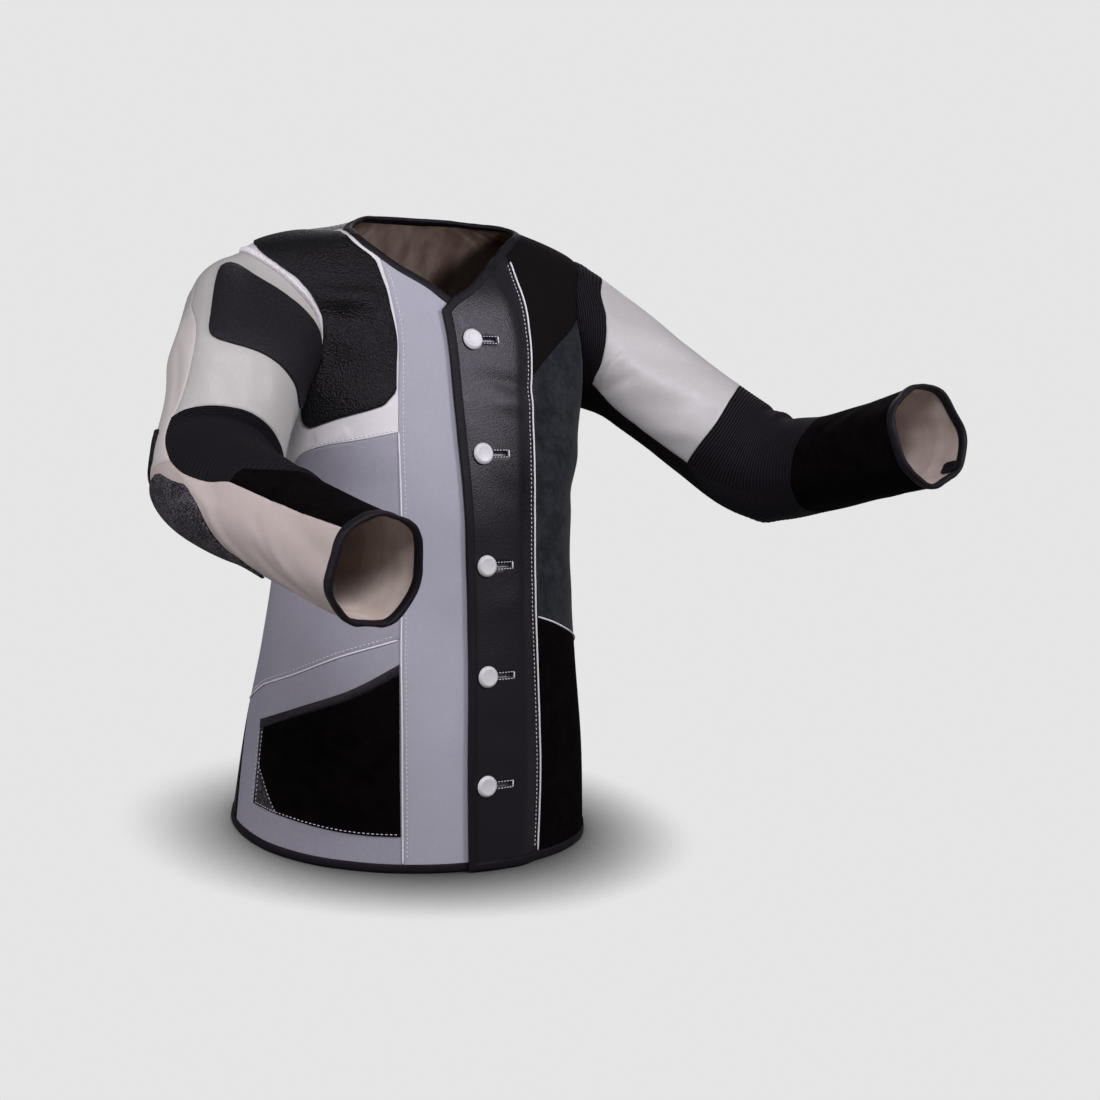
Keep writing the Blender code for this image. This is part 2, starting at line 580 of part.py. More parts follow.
def torso_sheet():
    """The torso unrolled: across by the angle, upwards by the length of its profile."""
    heights = np.linspace(-0.01, 0.66, 400)
    profile = (torso(60.0, heights) + torso(-60.0, heights) * (-1, 1, 1)) / 2
    rise = np.concatenate([[0], np.cumsum(np.linalg.norm(np.diff(profile, axis=0), axis=1))])
    across = 0.175 * radians(1)

    def flatten(uv):
        return np.stack([uv[:, 0] * across, np.interp(uv[:, 1], heights, rise)], -1)

    def unflatten(flat):
        return np.stack([flat[:, 0] / across, np.interp(flat[:, 1], rise, heights)], -1)

    sheet = Sheet(body, flatten, unflatten, TORSO_CELL)
    neck = sheet.draw("neck", "rim", sheet.trace(NECK))
    top = sheet.draw("placket_top", "rim", sheet.trace(PLACKET_TOP))
    front = sheet.draw("placket_front", "rim", sheet.trace(PLACKET_FRONT, 0.045))
    hem = sheet.draw("hem", "rim", sheet.trace(HEM_LINE))
    sheet.draw("underlap", "rim", sheet.trace((HEM_LINE[-1], UNDERLAP_TOP), 0.045))
    edge = np.concatenate([neck, top[1:], front[1:], hem[1:]])
    row = sheet.draw("row", "row", sheet.inset(edge, BINDING))
    for name, at in (("neck_end", 0), ("piping_top", len(neck) - 1),
                     ("hem_corner", len(neck) + len(top) + len(front) - 3), ("hem_end", -1)):
        sheet.draw(name, "cut", [edge[at], row[at]])
    for name, line in (("underlap_neck", neck), ("underlap_row", row)):
        under = np.array([(t - 360, z) for t, z in line if t > 354 and z > 0.5])
        sheet.draw(name, "guide", under)
    sheet.draw("left_front", "seam", sheet.trace(LEFT_FRONT_SEAM, 0.045))
    sheet.draw("princess", "seam", sheet.trace(PRINCESS))
    for side, t in (("left", LEFT_SIDE), ("right", RIGHT_SIDE)):
        angles = armhole_angles(side)
        theta, z = armhole(side, angles)
        ring_points = np.stack([theta % 360, z], -1)
        sheet.draw(side + "_armhole", "rim", ring_points)
        for point, phi in zip(ring_points, angles):
            sheet.joints[tuple(np.round(point, 4))] = seam_through(side, phi)
        foot = ring_points[list(angles % 360).index(UNDERARM)]
        crown = ring_points[list(angles % 360).index(90)]
        ends = [(t, 0.165)] if side == "left" else [(t, 0.132), (250.3, 0.368)]
        sheet.draw(side + "_side", "seam", sheet.trace([(t, HEM), *ends, foot]))
        sheet.draw(side + "_shoulder", "seam", sheet.trace([crown, (crown[0], 0.645)]))
    left = sheet.lines["left_armhole"]
    chest = left[list(armhole_angles("left") % 360).index(15)]
    sheet.draw("left_diagonal", "seam", sheet.trace([(19.5, 0.498), (30, 0.522), chest]))
    sheet.draw("chest_band", "seam", sheet.trace(CHEST_BAND))
    sheet.draw("right_diagonal", "seam", sheet.trace(RIGHT_DIAGONAL))
    sheet.draw("suede_foot", "seam", sheet.trace(LEFT_SUEDE_FOOT))
    sheet.draw("shoulder_pad", "pad", SHOULDER_PAD)
    sheet.draw("pocket_top", "pad", sheet.trace(POCKET_TOP))
    sheet.draw("pocket_tape", "pad", sheet.trace(POCKET_TAPE_FOOT))
    sheet.draw("pocket_foot", "pad", sheet.trace(POCKET_FOOT))
    sheet.draw("pocket_left", "pad", [POCKET_TOP[-1], POCKET_TAPE_FOOT[-1], POCKET_CORNER[0],
                                      POCKET_FOOT[0]])
    sheet.draw("pocket_right", "pad", sheet.trace([POCKET_TOP[0], POCKET_TAPE_FOOT[0],
                                                   (331.0, 0.120), POCKET_FOOT[-1]]))
    sheet.draw("pocket_corner", "pad", POCKET_CORNER)
    sheet.draw("zip_edge", "pad", ZIP_EDGE)
    for k in range(BUTTONS):
        z = TOP_BUTTON - k * BUTTON_PITCH
        angles = np.arange(0.0, 20.0, 0.25)
        across_front = np.interp([x for x, _ in BUTTONHOLE + BUTTONHOLE[:1]],
                                 np.concatenate([-torso(angles, z)[::-1, 0], torso(angles, z)[:, 0]]),
                                 np.concatenate([-angles[::-1], angles]))
        rise_z = [z + share * HOLE_WIDTH / 2 for _, share in BUTTONHOLE + BUTTONHOLE[:1]]
        sheet.draw(f"buttonhole_{k + 1}", "rim", np.stack([across_front, rise_z], -1))
    sheet.divide((-3, 0.034), (372, 0.643))
    return sheet


# ------------------------------------------------------------------ sleeves: seams and outlines
# Each knot is (phi, v).
SLEEVE_SEAM = {"left": ((-30, 0), (-31, 0.1), (-35, 0.25), (-37, 0.43), (-30, 0.69), (-28, 1)),
               "right": ((-60, 0), (-60, 1))}
SEAM_STOPS = {"left": (0.05, 0.43, 0.69), "right": (0.45, 0.75)}

LEFT_SEAMS = {
    "rib_edge": ((-30.4, 0.05), (-24, 0.058), (-5, 0.090), (11, 0.100), (26, 0.095), (43, 0.080),
                 (60, 0.060), (95, 0.060), (130, 0.070), (150, 0.085)),
    "under_sleeve": ((150, 0), (150, 0.085), (150, 0.25), (150, 0.41)),
    "elbow_top": ((-37, 0.43), (20, 0.44), (52, 0.424), (92, 0.404), (120, 0.402), (150, 0.41),
                  (200, 0.47), (250, 0.525), (287, 0.52), (305, 0.47), (323, 0.43)),
    "elbow_foot": ((-30, 0.69), (-8, 0.704), (16, 0.716), (42, 0.732), (66, 0.742), (110, 0.745),
                   (160, 0.735), (220, 0.70), (280, 0.675), (330, 0.69)),
}
LEFT_PADS = {
    "cuff_tab": ((203, 0.955), (222, 0.955), (222, 0.992), (203, 0.992), (203, 0.955)),
}
RIGHT_SEAMS = {
    "cap_edge": ((120, 0), (115, 0.06), (113.5, 0.12), (117, 0.145), (124, 0.172), (134, 0.198),
                 (160, 0.215), (200, 0.20), (225, 0.13), (240, 0)),
    "outer_front": ((117, 0.145), (107, 0.19), (106, 0.27), (109, 0.34), (113, 0.385)),
    "outer_back": ((200, 0.20), (200, 0.33), (200, 0.455)),
    "rib_front": ((-60, 0.45), (-35, 0.442), (-11, 0.412), (9, 0.374), (30, 0.350), (50, 0.342),
                  (69, 0.346), (91, 0.360), (106, 0.374), (113, 0.385)),
    "rib_outer": ((113, 0.385), (121, 0.42), (126, 0.47), (127, 0.525)),
    "rib_lower": ((127, 0.525), (126, 0.57), (123, 0.62), (117, 0.668)),
    "rib_foot": ((117, 0.668), (101, 0.672), (88, 0.70), (72, 0.728), (50, 0.742), (20, 0.75),
                 (-20, 0.75), (-60, 0.75)),
    "strip_edge": ((117, 0.668), (115, 0.72), (112.5, 0.80), (110.5, 0.90), (109, 1)),
    "elbow_line": ((127, 0.525), (146, 0.488), (170, 0.462), (200, 0.455), (250, 0.452),
                   (300, 0.45)),
}
RIGHT_PADS = {
    "sleeve_pad": ((94, 0.070), (94, 0.100), (94, 0.212), (89, 0.226), (73, 0.228), (49, 0.230),
                   (30, 0.238), (9, 0.252), (-8, 0.272), (-24, 0.262), (-30, 0.20), (-28, 0.07),
                   (-12, 0.030), (8, 0.022), (26, 0.034), (45, 0.044), (66, 0.050), (87, 0.050),
                   (94, 0.070)),
    "elbow_pad": ((144, 0.512), (135, 0.585), (150, 0.622), (164, 0.645), (188, 0.682),
                  (200, 0.748), (212, 0.762), (222, 0.72), (222, 0.61), (214, 0.53),
                  (198, 0.488), (175, 0.484), (158, 0.494), (144, 0.512)),
    "rear_pad": ((127, 0.402), (134, 0.432), (143, 0.468), (160, 0.452), (194, 0.438),
                 (194, 0.390), (165, 0.375), (140, 0.382), (127, 0.402)),
}
SURFACES = {}


def sleeve_sheet(side, seams, pads):
    """A sleeve slit along its long seam and unrolled."""
    surface = SURFACES[side]
    around = 0.060 * radians(1)
    size = np.array([around, surface.length])
    sheet = Sheet(surface, lambda uv: uv * size, lambda flat: flat / size, SLEEVE_CELL,
                  -SIDE[side])
    angles = armhole_angles(side)
    sheet.draw("armhole", "rim", [(phi, 0) for phi in angles])
    for phi in angles:
        sheet.joints[(float(phi), 0.0)] = seam_through(side, phi)
    v = np.unique(np.round(np.concatenate([np.linspace(0, 1, 13), SEAM_STOPS[side],
                                           [1 - BINDING / surface.length]]), 4))
    knots = np.array(SLEEVE_SEAM[side], float)
    slit = np.stack([curve(knots[:, 1], knots[:, 0], v) if len(knots) > 2
                     else np.interp(v, knots[:, 1], knots[:, 0]), v], -1)
    sheet.draw("slit_1", "rim", slit)
    sheet.draw("slit_2", "rim", slit + (360, 0))
    for name, height, kind in (("cuff", v[-1], "rim"), ("cuff_row", v[-2], "row")):
        phi = slit[list(v).index(height), 0]
        sheet.draw(name, kind, [(a, height) for a in np.linspace(phi, phi + 360, 19)])
    for name, knots in seams.items():
        line = sheet.draw(name, "seam", sheet.trace(knots))
        for end in (0, -1):
            near = np.concatenate([slit, slit + (360, 0), sheet.lines["armhole"]])
            gaps = np.abs(near - line[end]) @ (0.02, 1)
            if gaps.min() < 0.02:
                line[end] = near[gaps.argmin()]
    for name, knots in pads.items():
        sheet.draw(name, "pad", sheet.trace(knots) if name == "sleeve_pad" else knots)
    sheet.divide((slit[:, 0].min() + 8, 0.06), (slit[:, 0].max() + 360, 0.97))
    return sheet


# ------------------------------------------------------------------ the pieces
Piece = namedtuple("Piece", "name material t z")
TORSO_PANELS = (
    Piece("right_front", "front_canvas", 350, 0.30),
    Piece("right_chest", "white_leather", 290, 0.425),
    Piece("right_side_upper", "side_canvas", 300, 0.30),
    Piece("right_side_lower", "side_canvas", 300, 0.10),
    Piece("left_placket", "black_leather", 10, 0.20),
    Piece("left_yoke", "black_canvas", 35, 0.57),
    Piece("left_chest", "slate_suede", 60, 0.35),
    Piece("left_lower", "black_suede", 60, 0.10),
    Piece("back", "black_canvas", 180, 0.30),
)
TORSO_PATCHES = (
    Piece("shoulder_pad", "pebbled_pad", 322, 0.52),
    Piece("pocket", "black_suede", 305, 0.10),
    Piece("pocket_tape", "binding_leather", 300, 0.161),
    Piece("pocket_corner", "speckled_pad", 275.5, 0.050),
    Piece("pocket_zip", "black_leather", 272.4, 0.10),
)
LEFT_PANELS = (
    Piece("left_shoulder_rib", "black_rib", 60, 0.04),
    Piece("left_upper_sleeve", "silver_leather", 60, 0.25),
    Piece("left_under_sleeve", "black_canvas", 250, 0.25),
    Piece("left_elbow_rib", "black_rib", 60, 0.60),
    Piece("left_forearm", "black_suede", 60, 0.85),
)
RIGHT_PANELS = (
    Piece("right_upper_sleeve", "grey_leather", 60, 0.30),
    Piece("right_sleeve_cap", "grey_leather", 170, 0.10),
    Piece("right_outer_sleeve", "off_white_leather", 160, 0.30),
    Piece("right_under_sleeve", "black_canvas", 260, 0.30),
    Piece("right_elbow_rib", "black_rib", 60, 0.55),
    Piece("right_forearm_strip", "black_suede", 60, 0.85),
    Piece("right_forearm", "beige_leather", 200, 0.85),
)
RIGHT_PATCHES = (
    Piece("right_sleeve_pad", "pebbled_pad", 50, 0.18),
    Piece("right_elbow_pad", "speckled_pad", 190, 0.60),
    Piece("right_rear_pad", "pebbled_pad", 170, 0.42),
)
THICKNESS = {"pocket": PATCH, "pocket_tape": PATCH, "pocket_corner": PATCH, "pocket_zip": PATCH}
WRAPPED = ("neck", "placket_top", "placket_front", "hem")


def cloth(sheet, panels, patches=()):
    """All the panels of a sheet, and what is sewn on top of them."""
    for piece in panels:
        slab(piece.name, piece.material, sheet, (piece.t, piece.z))
    for piece in patches:
        thick = THICKNESS.get(piece.name, PAD)
        slab(piece.name, piece.material, sheet, (piece.t, piece.z), GAP + thick, thick,
             ("rim", "seam", "pad") if "pad" not in piece.name else ("rim", "pad"))


def button(name, z):
    """A domed button, turned about its shank, which goes through the buttonhole."""
    at = np.array([BUTTON_ANGLE]), np.array([z])
    seat = body(*at)[0]
    out = Vector(normal(body, *at)[0])
    profile = ((0, -OVERLAP_LIFT + 0.0005), (SHANK_RADIUS, -OVERLAP_LIFT + 0.0005),
               (SHANK_RADIUS, GAP), (0.88 * BUTTON_RADIUS, GAP), (BUTTON_RADIUS, 0.0014),
               (BUTTON_RADIUS, 0.0024), (0.70 * BUTTON_RADIUS, BUTTON_HEIGHT - 0.0006),
               (0, BUTTON_HEIGHT))
    work = bmesh.new()
    points = [work.verts.new((radius, 0, height)) for radius, height in profile]
    outline = [work.edges.new(pair) for pair in zip(points, points[1:])]
    bmesh.ops.spin(work, geom=points + outline, cent=(0, 0, 0), axis=(0, 0, 1),
                   angle=2 * pi, steps=10, use_duplicate=False)
    bmesh.ops.remove_doubles(work, verts=work.verts, dist=1e-5)
    turn = Vector((0, 0, 1)).rotation_difference(out)
    spots = [Vector(seat) + turn @ vertex.co for vertex in work.verts]
    work.verts.index_update()
    faces = [[vertex.index for vertex in face.verts] for face in work.faces]
    work.free()
    return add_object(name, spots, faces, "white_plastic")


def build():
    for thing in list(bpy.data.objects):
        bpy.data.objects.remove(thing)
    make_materials()
    for side in SIDE:
        SURFACES[side] = Sleeve(side)
    trunk = torso_sheet()
    left = sleeve_sheet("left", LEFT_SEAMS, LEFT_PADS)
    right = sleeve_sheet("right", RIGHT_SEAMS, RIGHT_PADS)
    cloth(trunk, TORSO_PANELS, TORSO_PATCHES)
    cloth(left, LEFT_PANELS)
    cloth(right, RIGHT_PANELS, RIGHT_PATCHES)
    binding("neck_binding", "binding_leather", trunk, (180, 0.6445), WRAPPED)
    binding("placket_binding", "binding_leather", trunk, (-4.6, 0.30), WRAPPED, True)
    binding("hem_binding", "binding_leather", trunk, (180, 0.004), WRAPPED, True)
    for side, sheet in (("left", left), ("right", right)):
        binding(side + "_cuff_binding", "binding_leather", sheet, (60, 0.993), ("cuff",))
    slab("left_cuff_tab", "binding_leather", left, (212, 0.97),
         -CLOTH - TAPE - 2 * GAP, PATCH, ("pad",))
    cord("left_front_piping", "white_cord", trunk, "left_front", 0.0094, 0.612, 1)
    cord("right_princess_piping", "white_cord", trunk, "princess", 0.0094, 0.442, 1)
    cord("right_diagonal_piping", "white_cord", trunk, "right_diagonal", 250, 330.6, 0,
         (0.0004, 0.0022))
    cord("left_suede_piping", "white_cord", trunk, "suede_foot", 21.5, 110, 0,
         (0.0022, 0.0004))
    for k in range(BUTTONS):
        button(f"button_{k + 1}", TOP_BUTTON - k * BUTTON_PITCH)
    settle()


def settle():
    """Moves everything so that the origin is under the middle of the whole, on the floor."""
    points = np.array([vertex.co for thing in PARTS.values() for vertex in thing.data.vertices])
    middle = (points.min(0) + points.max(0)) / 2
    move = -Vector((middle[0], middle[1], points.min(0)[2]))
    for thing in PARTS.values():
        for vertex in thing.data.vertices:
            vertex.co += move
        thing.data.shade_smooth()
        thing.data.set_sharp_from_angle(angle=radians(40))
        thing.data.update()


build()
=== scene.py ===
# %% [markdown]
# # A target-shooting jacket
# A shooting jacket is a stiff garment of leather, canvas and rib knit that steadies the body.
# It stands on its own hem, filled out by nothing but the stiffness of its cloth, so it is modelled
# as three thin sheets: the torso and two bent sleeves. Each sheet is a smooth surface with the
# seams drawn on it, and every piece of cloth is cut out along those seams.
# The rigid construction is loaded first. It gives the sizes, and it is never moved.

# %% Load the construction
from collections import namedtuple
from math import cos, pi, radians, sin

import bmesh
import bpy
import numpy as np
from mathutils import Matrix, Vector
from mathutils.geometry import delaunay_2d_cdt
from mathutils.kdtree import KDTree


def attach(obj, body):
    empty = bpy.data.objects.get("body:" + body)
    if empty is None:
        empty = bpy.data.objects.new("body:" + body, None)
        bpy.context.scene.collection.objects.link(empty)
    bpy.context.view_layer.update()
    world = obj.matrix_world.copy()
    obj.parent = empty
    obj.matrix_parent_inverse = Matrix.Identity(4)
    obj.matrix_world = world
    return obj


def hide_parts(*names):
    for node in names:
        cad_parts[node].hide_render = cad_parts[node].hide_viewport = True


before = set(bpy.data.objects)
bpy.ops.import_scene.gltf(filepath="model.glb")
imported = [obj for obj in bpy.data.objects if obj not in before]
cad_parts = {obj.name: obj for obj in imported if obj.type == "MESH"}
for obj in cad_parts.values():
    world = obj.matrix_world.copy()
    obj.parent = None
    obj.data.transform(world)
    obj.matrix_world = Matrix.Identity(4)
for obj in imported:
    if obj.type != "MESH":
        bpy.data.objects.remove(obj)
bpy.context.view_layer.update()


def table(kind, *rows):
    """Rows of values as named tuples."""
    return tuple(kind(*row) for row in rows)


# %% [markdown]
# ## Camera
# The jacket is seen from the wearer's front right, a little above the chest, through a short
# telephoto lens, which keeps its proportions calm. The picture is rolled by a few degrees, so the
# camera's three axes are worked out and written into its matrix.

# %% Camera
SETTLE = np.array((-0.03175, 0.12285, 0.0))   # from the form's own axes to the frame's
AIM = Vector((0.0, 0.0, 0.33)) + Vector(SETTLE)
AZIMUTH, ELEVATION, ROLL = radians(-31.5), radians(11.2), radians(-5.3)
DISTANCE, LENS = 2.222, 67.3     # in metres, and in millimetres
BESIDE, BELOW = 0.135, 0.030     # the lens looks this far right of the aim, and this far under it

back_axis = Vector((sin(AZIMUTH) * cos(ELEVATION), -cos(AZIMUTH) * cos(ELEVATION), sin(ELEVATION)))
level = Vector((cos(AZIMUTH), sin(AZIMUTH), 0))
plumb = back_axis.cross(level)
right_axis = level * cos(ROLL) - plumb * sin(ROLL)
up_axis = level * sin(ROLL) + plumb * cos(ROLL)
camera = bpy.data.objects.new("camera", bpy.data.cameras.new("camera"))
camera.data.lens = LENS
camera.matrix_world = Matrix.Translation(
    AIM + back_axis * DISTANCE + right_axis * BESIDE - up_axis * BELOW
) @ Matrix((right_axis, up_axis, back_axis)).transposed().to_4x4()
bpy.context.scene.collection.objects.link(camera)
bpy.context.scene.camera = camera
print("camera", [round(x, 2) for x in camera.matrix_world.translation], "metres")

# %% [markdown]
# ## Floor and light
# The floor is pale and plain. For the lamps it is an ordinary matt surface, and for the eye it
# glows in the background's own grey, so no horizon shows. An Ambient Occlusion node darkens that
# glow where the cloth is near, which draws a soft shadow together round the hem.
# The light comes from big soft boxes: a key and a fill from the two sides of the camera, one low
# on the left and a rim behind. The back panel has two of its own, one for the inside of the neck
# and one behind, since its cloth is so dark. The floor has one overhead, so that the jacket's
# light can be set apart from it.

# %% Node helpers
BACKDROP = (0.787, 0.787, 0.787, 1)


class Nodes:
    """Short ways to add nodes to one tree and to link them."""

    def __init__(self, tree):
        self.nodes, self.link = tree.nodes, tree.links.new

    def feed(self, socket, value):
        """Sets a socket to a value, or links another socket to it."""
        if isinstance(value, bpy.types.NodeSocket):
            self.link(value, socket)
        else:
            socket.default_value = value

    def add(self, kind, inputs=None, **settings):
        """A new shader node, with its settings and its inputs by name or number."""
        node = self.nodes.new("ShaderNode" + kind)
        for name, value in settings.items():
            setattr(node, name, value)
        for key, value in (inputs or {}).items():
            self.feed(node.inputs[key], value)
        return node

    def math(self, operation, *values):
        return self.add("Math", dict(enumerate(values)), operation=operation).outputs[0]

    def plus(self, a, b):
        return self.math("ADD", a, b)

    def times(self, a, b):
        return self.math("MULTIPLY", a, b)

    def spread(self, value, low, high, to_low=0.0, to_high=1.0):
        """A Map Range node with soft ends."""
        return self.add("MapRange", {"Value": value, "From Min": low, "From Max": high,
                                     "To Min": to_low, "To Max": to_high},
                        interpolation_type="SMOOTHSTEP").outputs["Result"]

    def noise(self, at, scale, detail, roughness):
        """A Noise texture."""
        return self.add("TexNoise", {"Vector": at, "Scale": scale, "Detail": detail,
                                     "Roughness": roughness}).outputs["Fac"]

    def cells(self, at, scale, smoothness):
        """The distances of a smooth Voronoi texture."""
        return self.add("TexVoronoi", {"Vector": at, "Scale": scale, "Smoothness": smoothness},
                        feature="SMOOTH_F1").outputs["Distance"]

    def mix(self, share, a, b):
        """A colour between two colours."""
        return self.add("Mix", {0: share, 6: a, 7: b}, data_type="RGBA").outputs[2]

    def for_the_eye(self, unseen, seen):
        """One shader for the lamps and another for the camera."""
        ray = self.add("LightPath").outputs["Is Camera Ray"]
        return self.add("MixShader", {"Fac": ray, 1: unseen, 2: seen}).outputs["Shader"]


def new_material(name):
    """A node material with its helper and its Principled shader."""
    material = bpy.data.materials.new(name)
    material.use_nodes = True
    return material, Nodes(material.node_tree), material.node_tree.nodes["Principled BSDF"]


def add_object(name, data):
    thing = bpy.data.objects.new(name, data)
    bpy.context.scene.collection.objects.link(thing)
    return thing


print("node helpers are ready")

# %% Floor
FLOOR_REACH, FLOOR_LEVEL = 14.0, -0.0002
SHADOW_REACH, SHADOW_DEPTH, SHADOW_LEAN = 0.13, 3.3, (0.0, 0.22, 0.975)

floor_mesh = bpy.data.meshes.new("floor")
floor_mesh.from_pydata([(x * FLOOR_REACH, y * FLOOR_REACH, FLOOR_LEVEL)
                        for x, y in ((-1, -1), (1, -1), (1, 1), (-1, 1))], [], [(0, 1, 2, 3)])
floor = add_object("floor", floor_mesh)
paper, made, shader = new_material("pale_floor")
shader.inputs["Base Color"].default_value = (0.70, 0.70, 0.70, 1)
shader.inputs["Roughness"].default_value = 0.9
shader.inputs["Specular IOR Level"].default_value = 0.1
lean = made.add("CombineXYZ", dict(enumerate(SHADOW_LEAN))).outputs[0]
near_hem = made.add("AmbientOcclusion", {"Distance": SHADOW_REACH, "Normal": lean}).outputs["AO"]
shade = made.mix(made.math("POWER", near_hem, SHADOW_DEPTH), (0, 0, 0, 1), BACKDROP)
glow = made.add("Emission", {"Color": shade}).outputs["Emission"]
made.link(made.for_the_eye(shader.outputs["BSDF"], glow),
          made.nodes["Material Output"].inputs["Surface"])
floor_mesh.materials.append(paper)
print("floor", 2 * FLOOR_REACH, "metres wide")

# %% Light
SoftBox = namedtuple("SoftBox", "name place size power lights")
SOFT_BOXES = table(
    SoftBox,
    ("key", (-0.75, -1.45, 1.85), 0.7, 23, "front"),
    ("fill", (0.95, -1.50, 1.75), 0.5, 19, "front"),
    ("left", (-1.8, -0.2, 0.85), 0.9, 10, "front"),
    ("rim", (1.1, 1.8, 1.3), 1.0, 6, "jacket"),
    ("behind", (0.5, 2.1, 1.1), 1.2, 110, "back"),
    ("collar", (-0.35, -2.0, 0.90), 0.30, 14, "back"),
    ("overhead", (0.0, 0.2, 2.4), 2.2, 14, "floor"),
)
JACKET_LIGHT = (1.0, 0.972, 1.025)
LIT_MIDDLE = Vector((0, 0, 0.35))      # the soft boxes all look here
ROOM_LIGHT = 0.13
lit = {name: bpy.data.collections.new("lit_" + name)
       for name in ("jacket", "front", "back", "floor")}


def link_light(name, thing, state):
    """Takes an object in or out of what a group of lights shines on."""
    lit[name].objects.link(thing)
    lit[name].collection_objects[-1].light_linking.link_state = state


link_light("jacket", floor, "EXCLUDE")
link_light("front", floor, "EXCLUDE")
link_light("floor", floor, "INCLUDE")
for box in SOFT_BOXES:
    lamp = bpy.data.lights.new(box.name, "AREA")
    lamp.size, lamp.energy, lamp.color = box.size, box.power, JACKET_LIGHT
    thing = add_object(box.name, lamp)
    thing.location = box.place
    toward = LIT_MIDDLE - Vector(box.place)
    thing.rotation_euler = toward.to_track_quat("-Z", "Y").to_euler()
    thing.light_linking.receiver_collection = lit[box.lights]

world = bpy.data.worlds.new("studio")
world.use_nodes = True
bpy.context.scene.world = world
made = Nodes(world.node_tree)
room = made.nodes["Background"]
room.inputs["Color"].default_value = (1, 1, 1, 1)
room.inputs["Strength"].default_value = ROOM_LIGHT
seen = made.add("Background", {"Color": BACKDROP}).outputs["Background"]
made.link(made.for_the_eye(room.outputs["Background"], seen),
          made.nodes["World Output"].inputs["Surface"])
bpy.context.scene.view_settings.view_transform = "Standard"
print("light:", len(SOFT_BOXES), "soft boxes and a room light of", ROOM_LIGHT)

# %% [markdown]
# ## Sizes of the cloth
# A pattern cutter starts with thicknesses and allowances. The panels are 2 mm thick, the pads a
# little more, and the leather tape that binds the edges is folded to 8 mm on each face.
# Two pieces that meet at a seam are 0.3 mm apart.

# %% Sizes
CLOTH = 0.0020
PAD = 0.0024
PATCH = 0.0016
GAP = 0.0003
TAPE = 0.0008
BINDING = 0.0080
HEM = GAP + TAPE + 0.0003
UNDERLAP = 12.0           # degrees that the right front runs on under the left
OVERLAP_LIFT = 0.0052
OVERLAP_FADE = 8.0        # degrees past the underlap in which the lift dies away
BUTTON_RADIUS = 0.0112
BUTTON_ANGLE = 0.05
BUTTON_HEIGHT = 0.0046
SHANK_RADIUS = 0.0014
TOP_BUTTON = 0.535
BUTTON_PITCH = 0.1115
BUTTONS = 5
HOLE_WIDTH = 0.0036
RISE_LEFT, RISE_RIGHT = 0.015, 0.006   # what each shoulder gains at RISE_REACH from the middle
RISE_REACH, RISE_FOOT, RISE_SPAN = 0.2, 0.30, 0.28
TORSO_CELL = 0.0045       # distance between the lattice points on the torso
SLEEVE_CELL = 0.0045
ARMHOLE_STEP = 2.5        # degrees between the points that a sleeve shares with the torso
print("cloth", CLOTH * 1000, "mm, binding", BINDING * 1000, "mm")

# %% [markdown]
# ## The torso's form
# A garment that stands by itself is a row of level sections, like the ribs of a boat. Each one is
# a superellipse, which is an oval with fuller corners, and a smooth curve through their sizes
# gives the surface at every height. The angle runs from the middle front towards the wearer's
# left. The left front lies over the right one, so it is lifted by a few millimetres.

# %% Curves
NEAR_U, NEAR_V = 0.5, 0.002      # the steps, in degrees and metres, that a normal is taken from


def unit(vectors):
    """Vectors with a length of one."""
    return vectors / np.linalg.norm(vectors, axis=-1, keepdims=True)


def run_along(path):
    """Distance from the first point of a path to each of its points, along the path."""
    return np.concatenate([[0], np.cumsum(np.linalg.norm(np.diff(path, axis=0), axis=1))])


def smooth(x):
    """0 to 1 with soft ends."""
    x = np.clip(x, 0, 1)
    return x * x * (3 - 2 * x)


def curve(knots, values, x):
    """Smooth curve through the values at the knots, without overshoot between even ones."""
    knots, values, x = (np.asarray(a, float) for a in (knots, values, x))
    step = np.diff(knots)
    rise = np.diff(values) / step
    slope = np.concatenate([rise[:1], (rise[:-1] * step[1:] + rise[1:] * step[:-1])
                            / (step[:-1] + step[1:]), rise[-1:]])
    i = np.clip(np.searchsorted(knots, x, side="right") - 1, 0, len(knots) - 2)
    t = (x - knots[i]) / step[i]
    return ((2 * t**3 - 3 * t**2 + 1) * values[i] + (t**3 - 2 * t**2 + t) * step[i] * slope[i]
            + (3 * t**2 - 2 * t**3) * values[i + 1] + (t**3 - t**2) * step[i] * slope[i + 1])


def power(x, exponent):
    """Signed power, for superellipses."""
    return np.sign(x) * np.abs(x) ** exponent


def matched(u, v):
    """Two sets of numbers brought to one shape."""
    return np.broadcast_arrays(np.asarray(u, float), np.asarray(v, float))


def normal(place, u, v):
    """Unit normals of a surface from small steps along it."""
    along_u = place(u + NEAR_U, v) - place(u - NEAR_U, v)
    along_v = place(u, v + NEAR_V) - place(u, v - NEAR_V)
    return unit(np.cross(along_u, along_v))


print("a curve through 0, 1 and 4 is at",
      round(float(curve((0, 1, 2), (0, 1, 4), 1.5)), 3), "halfway between 1 and 4")

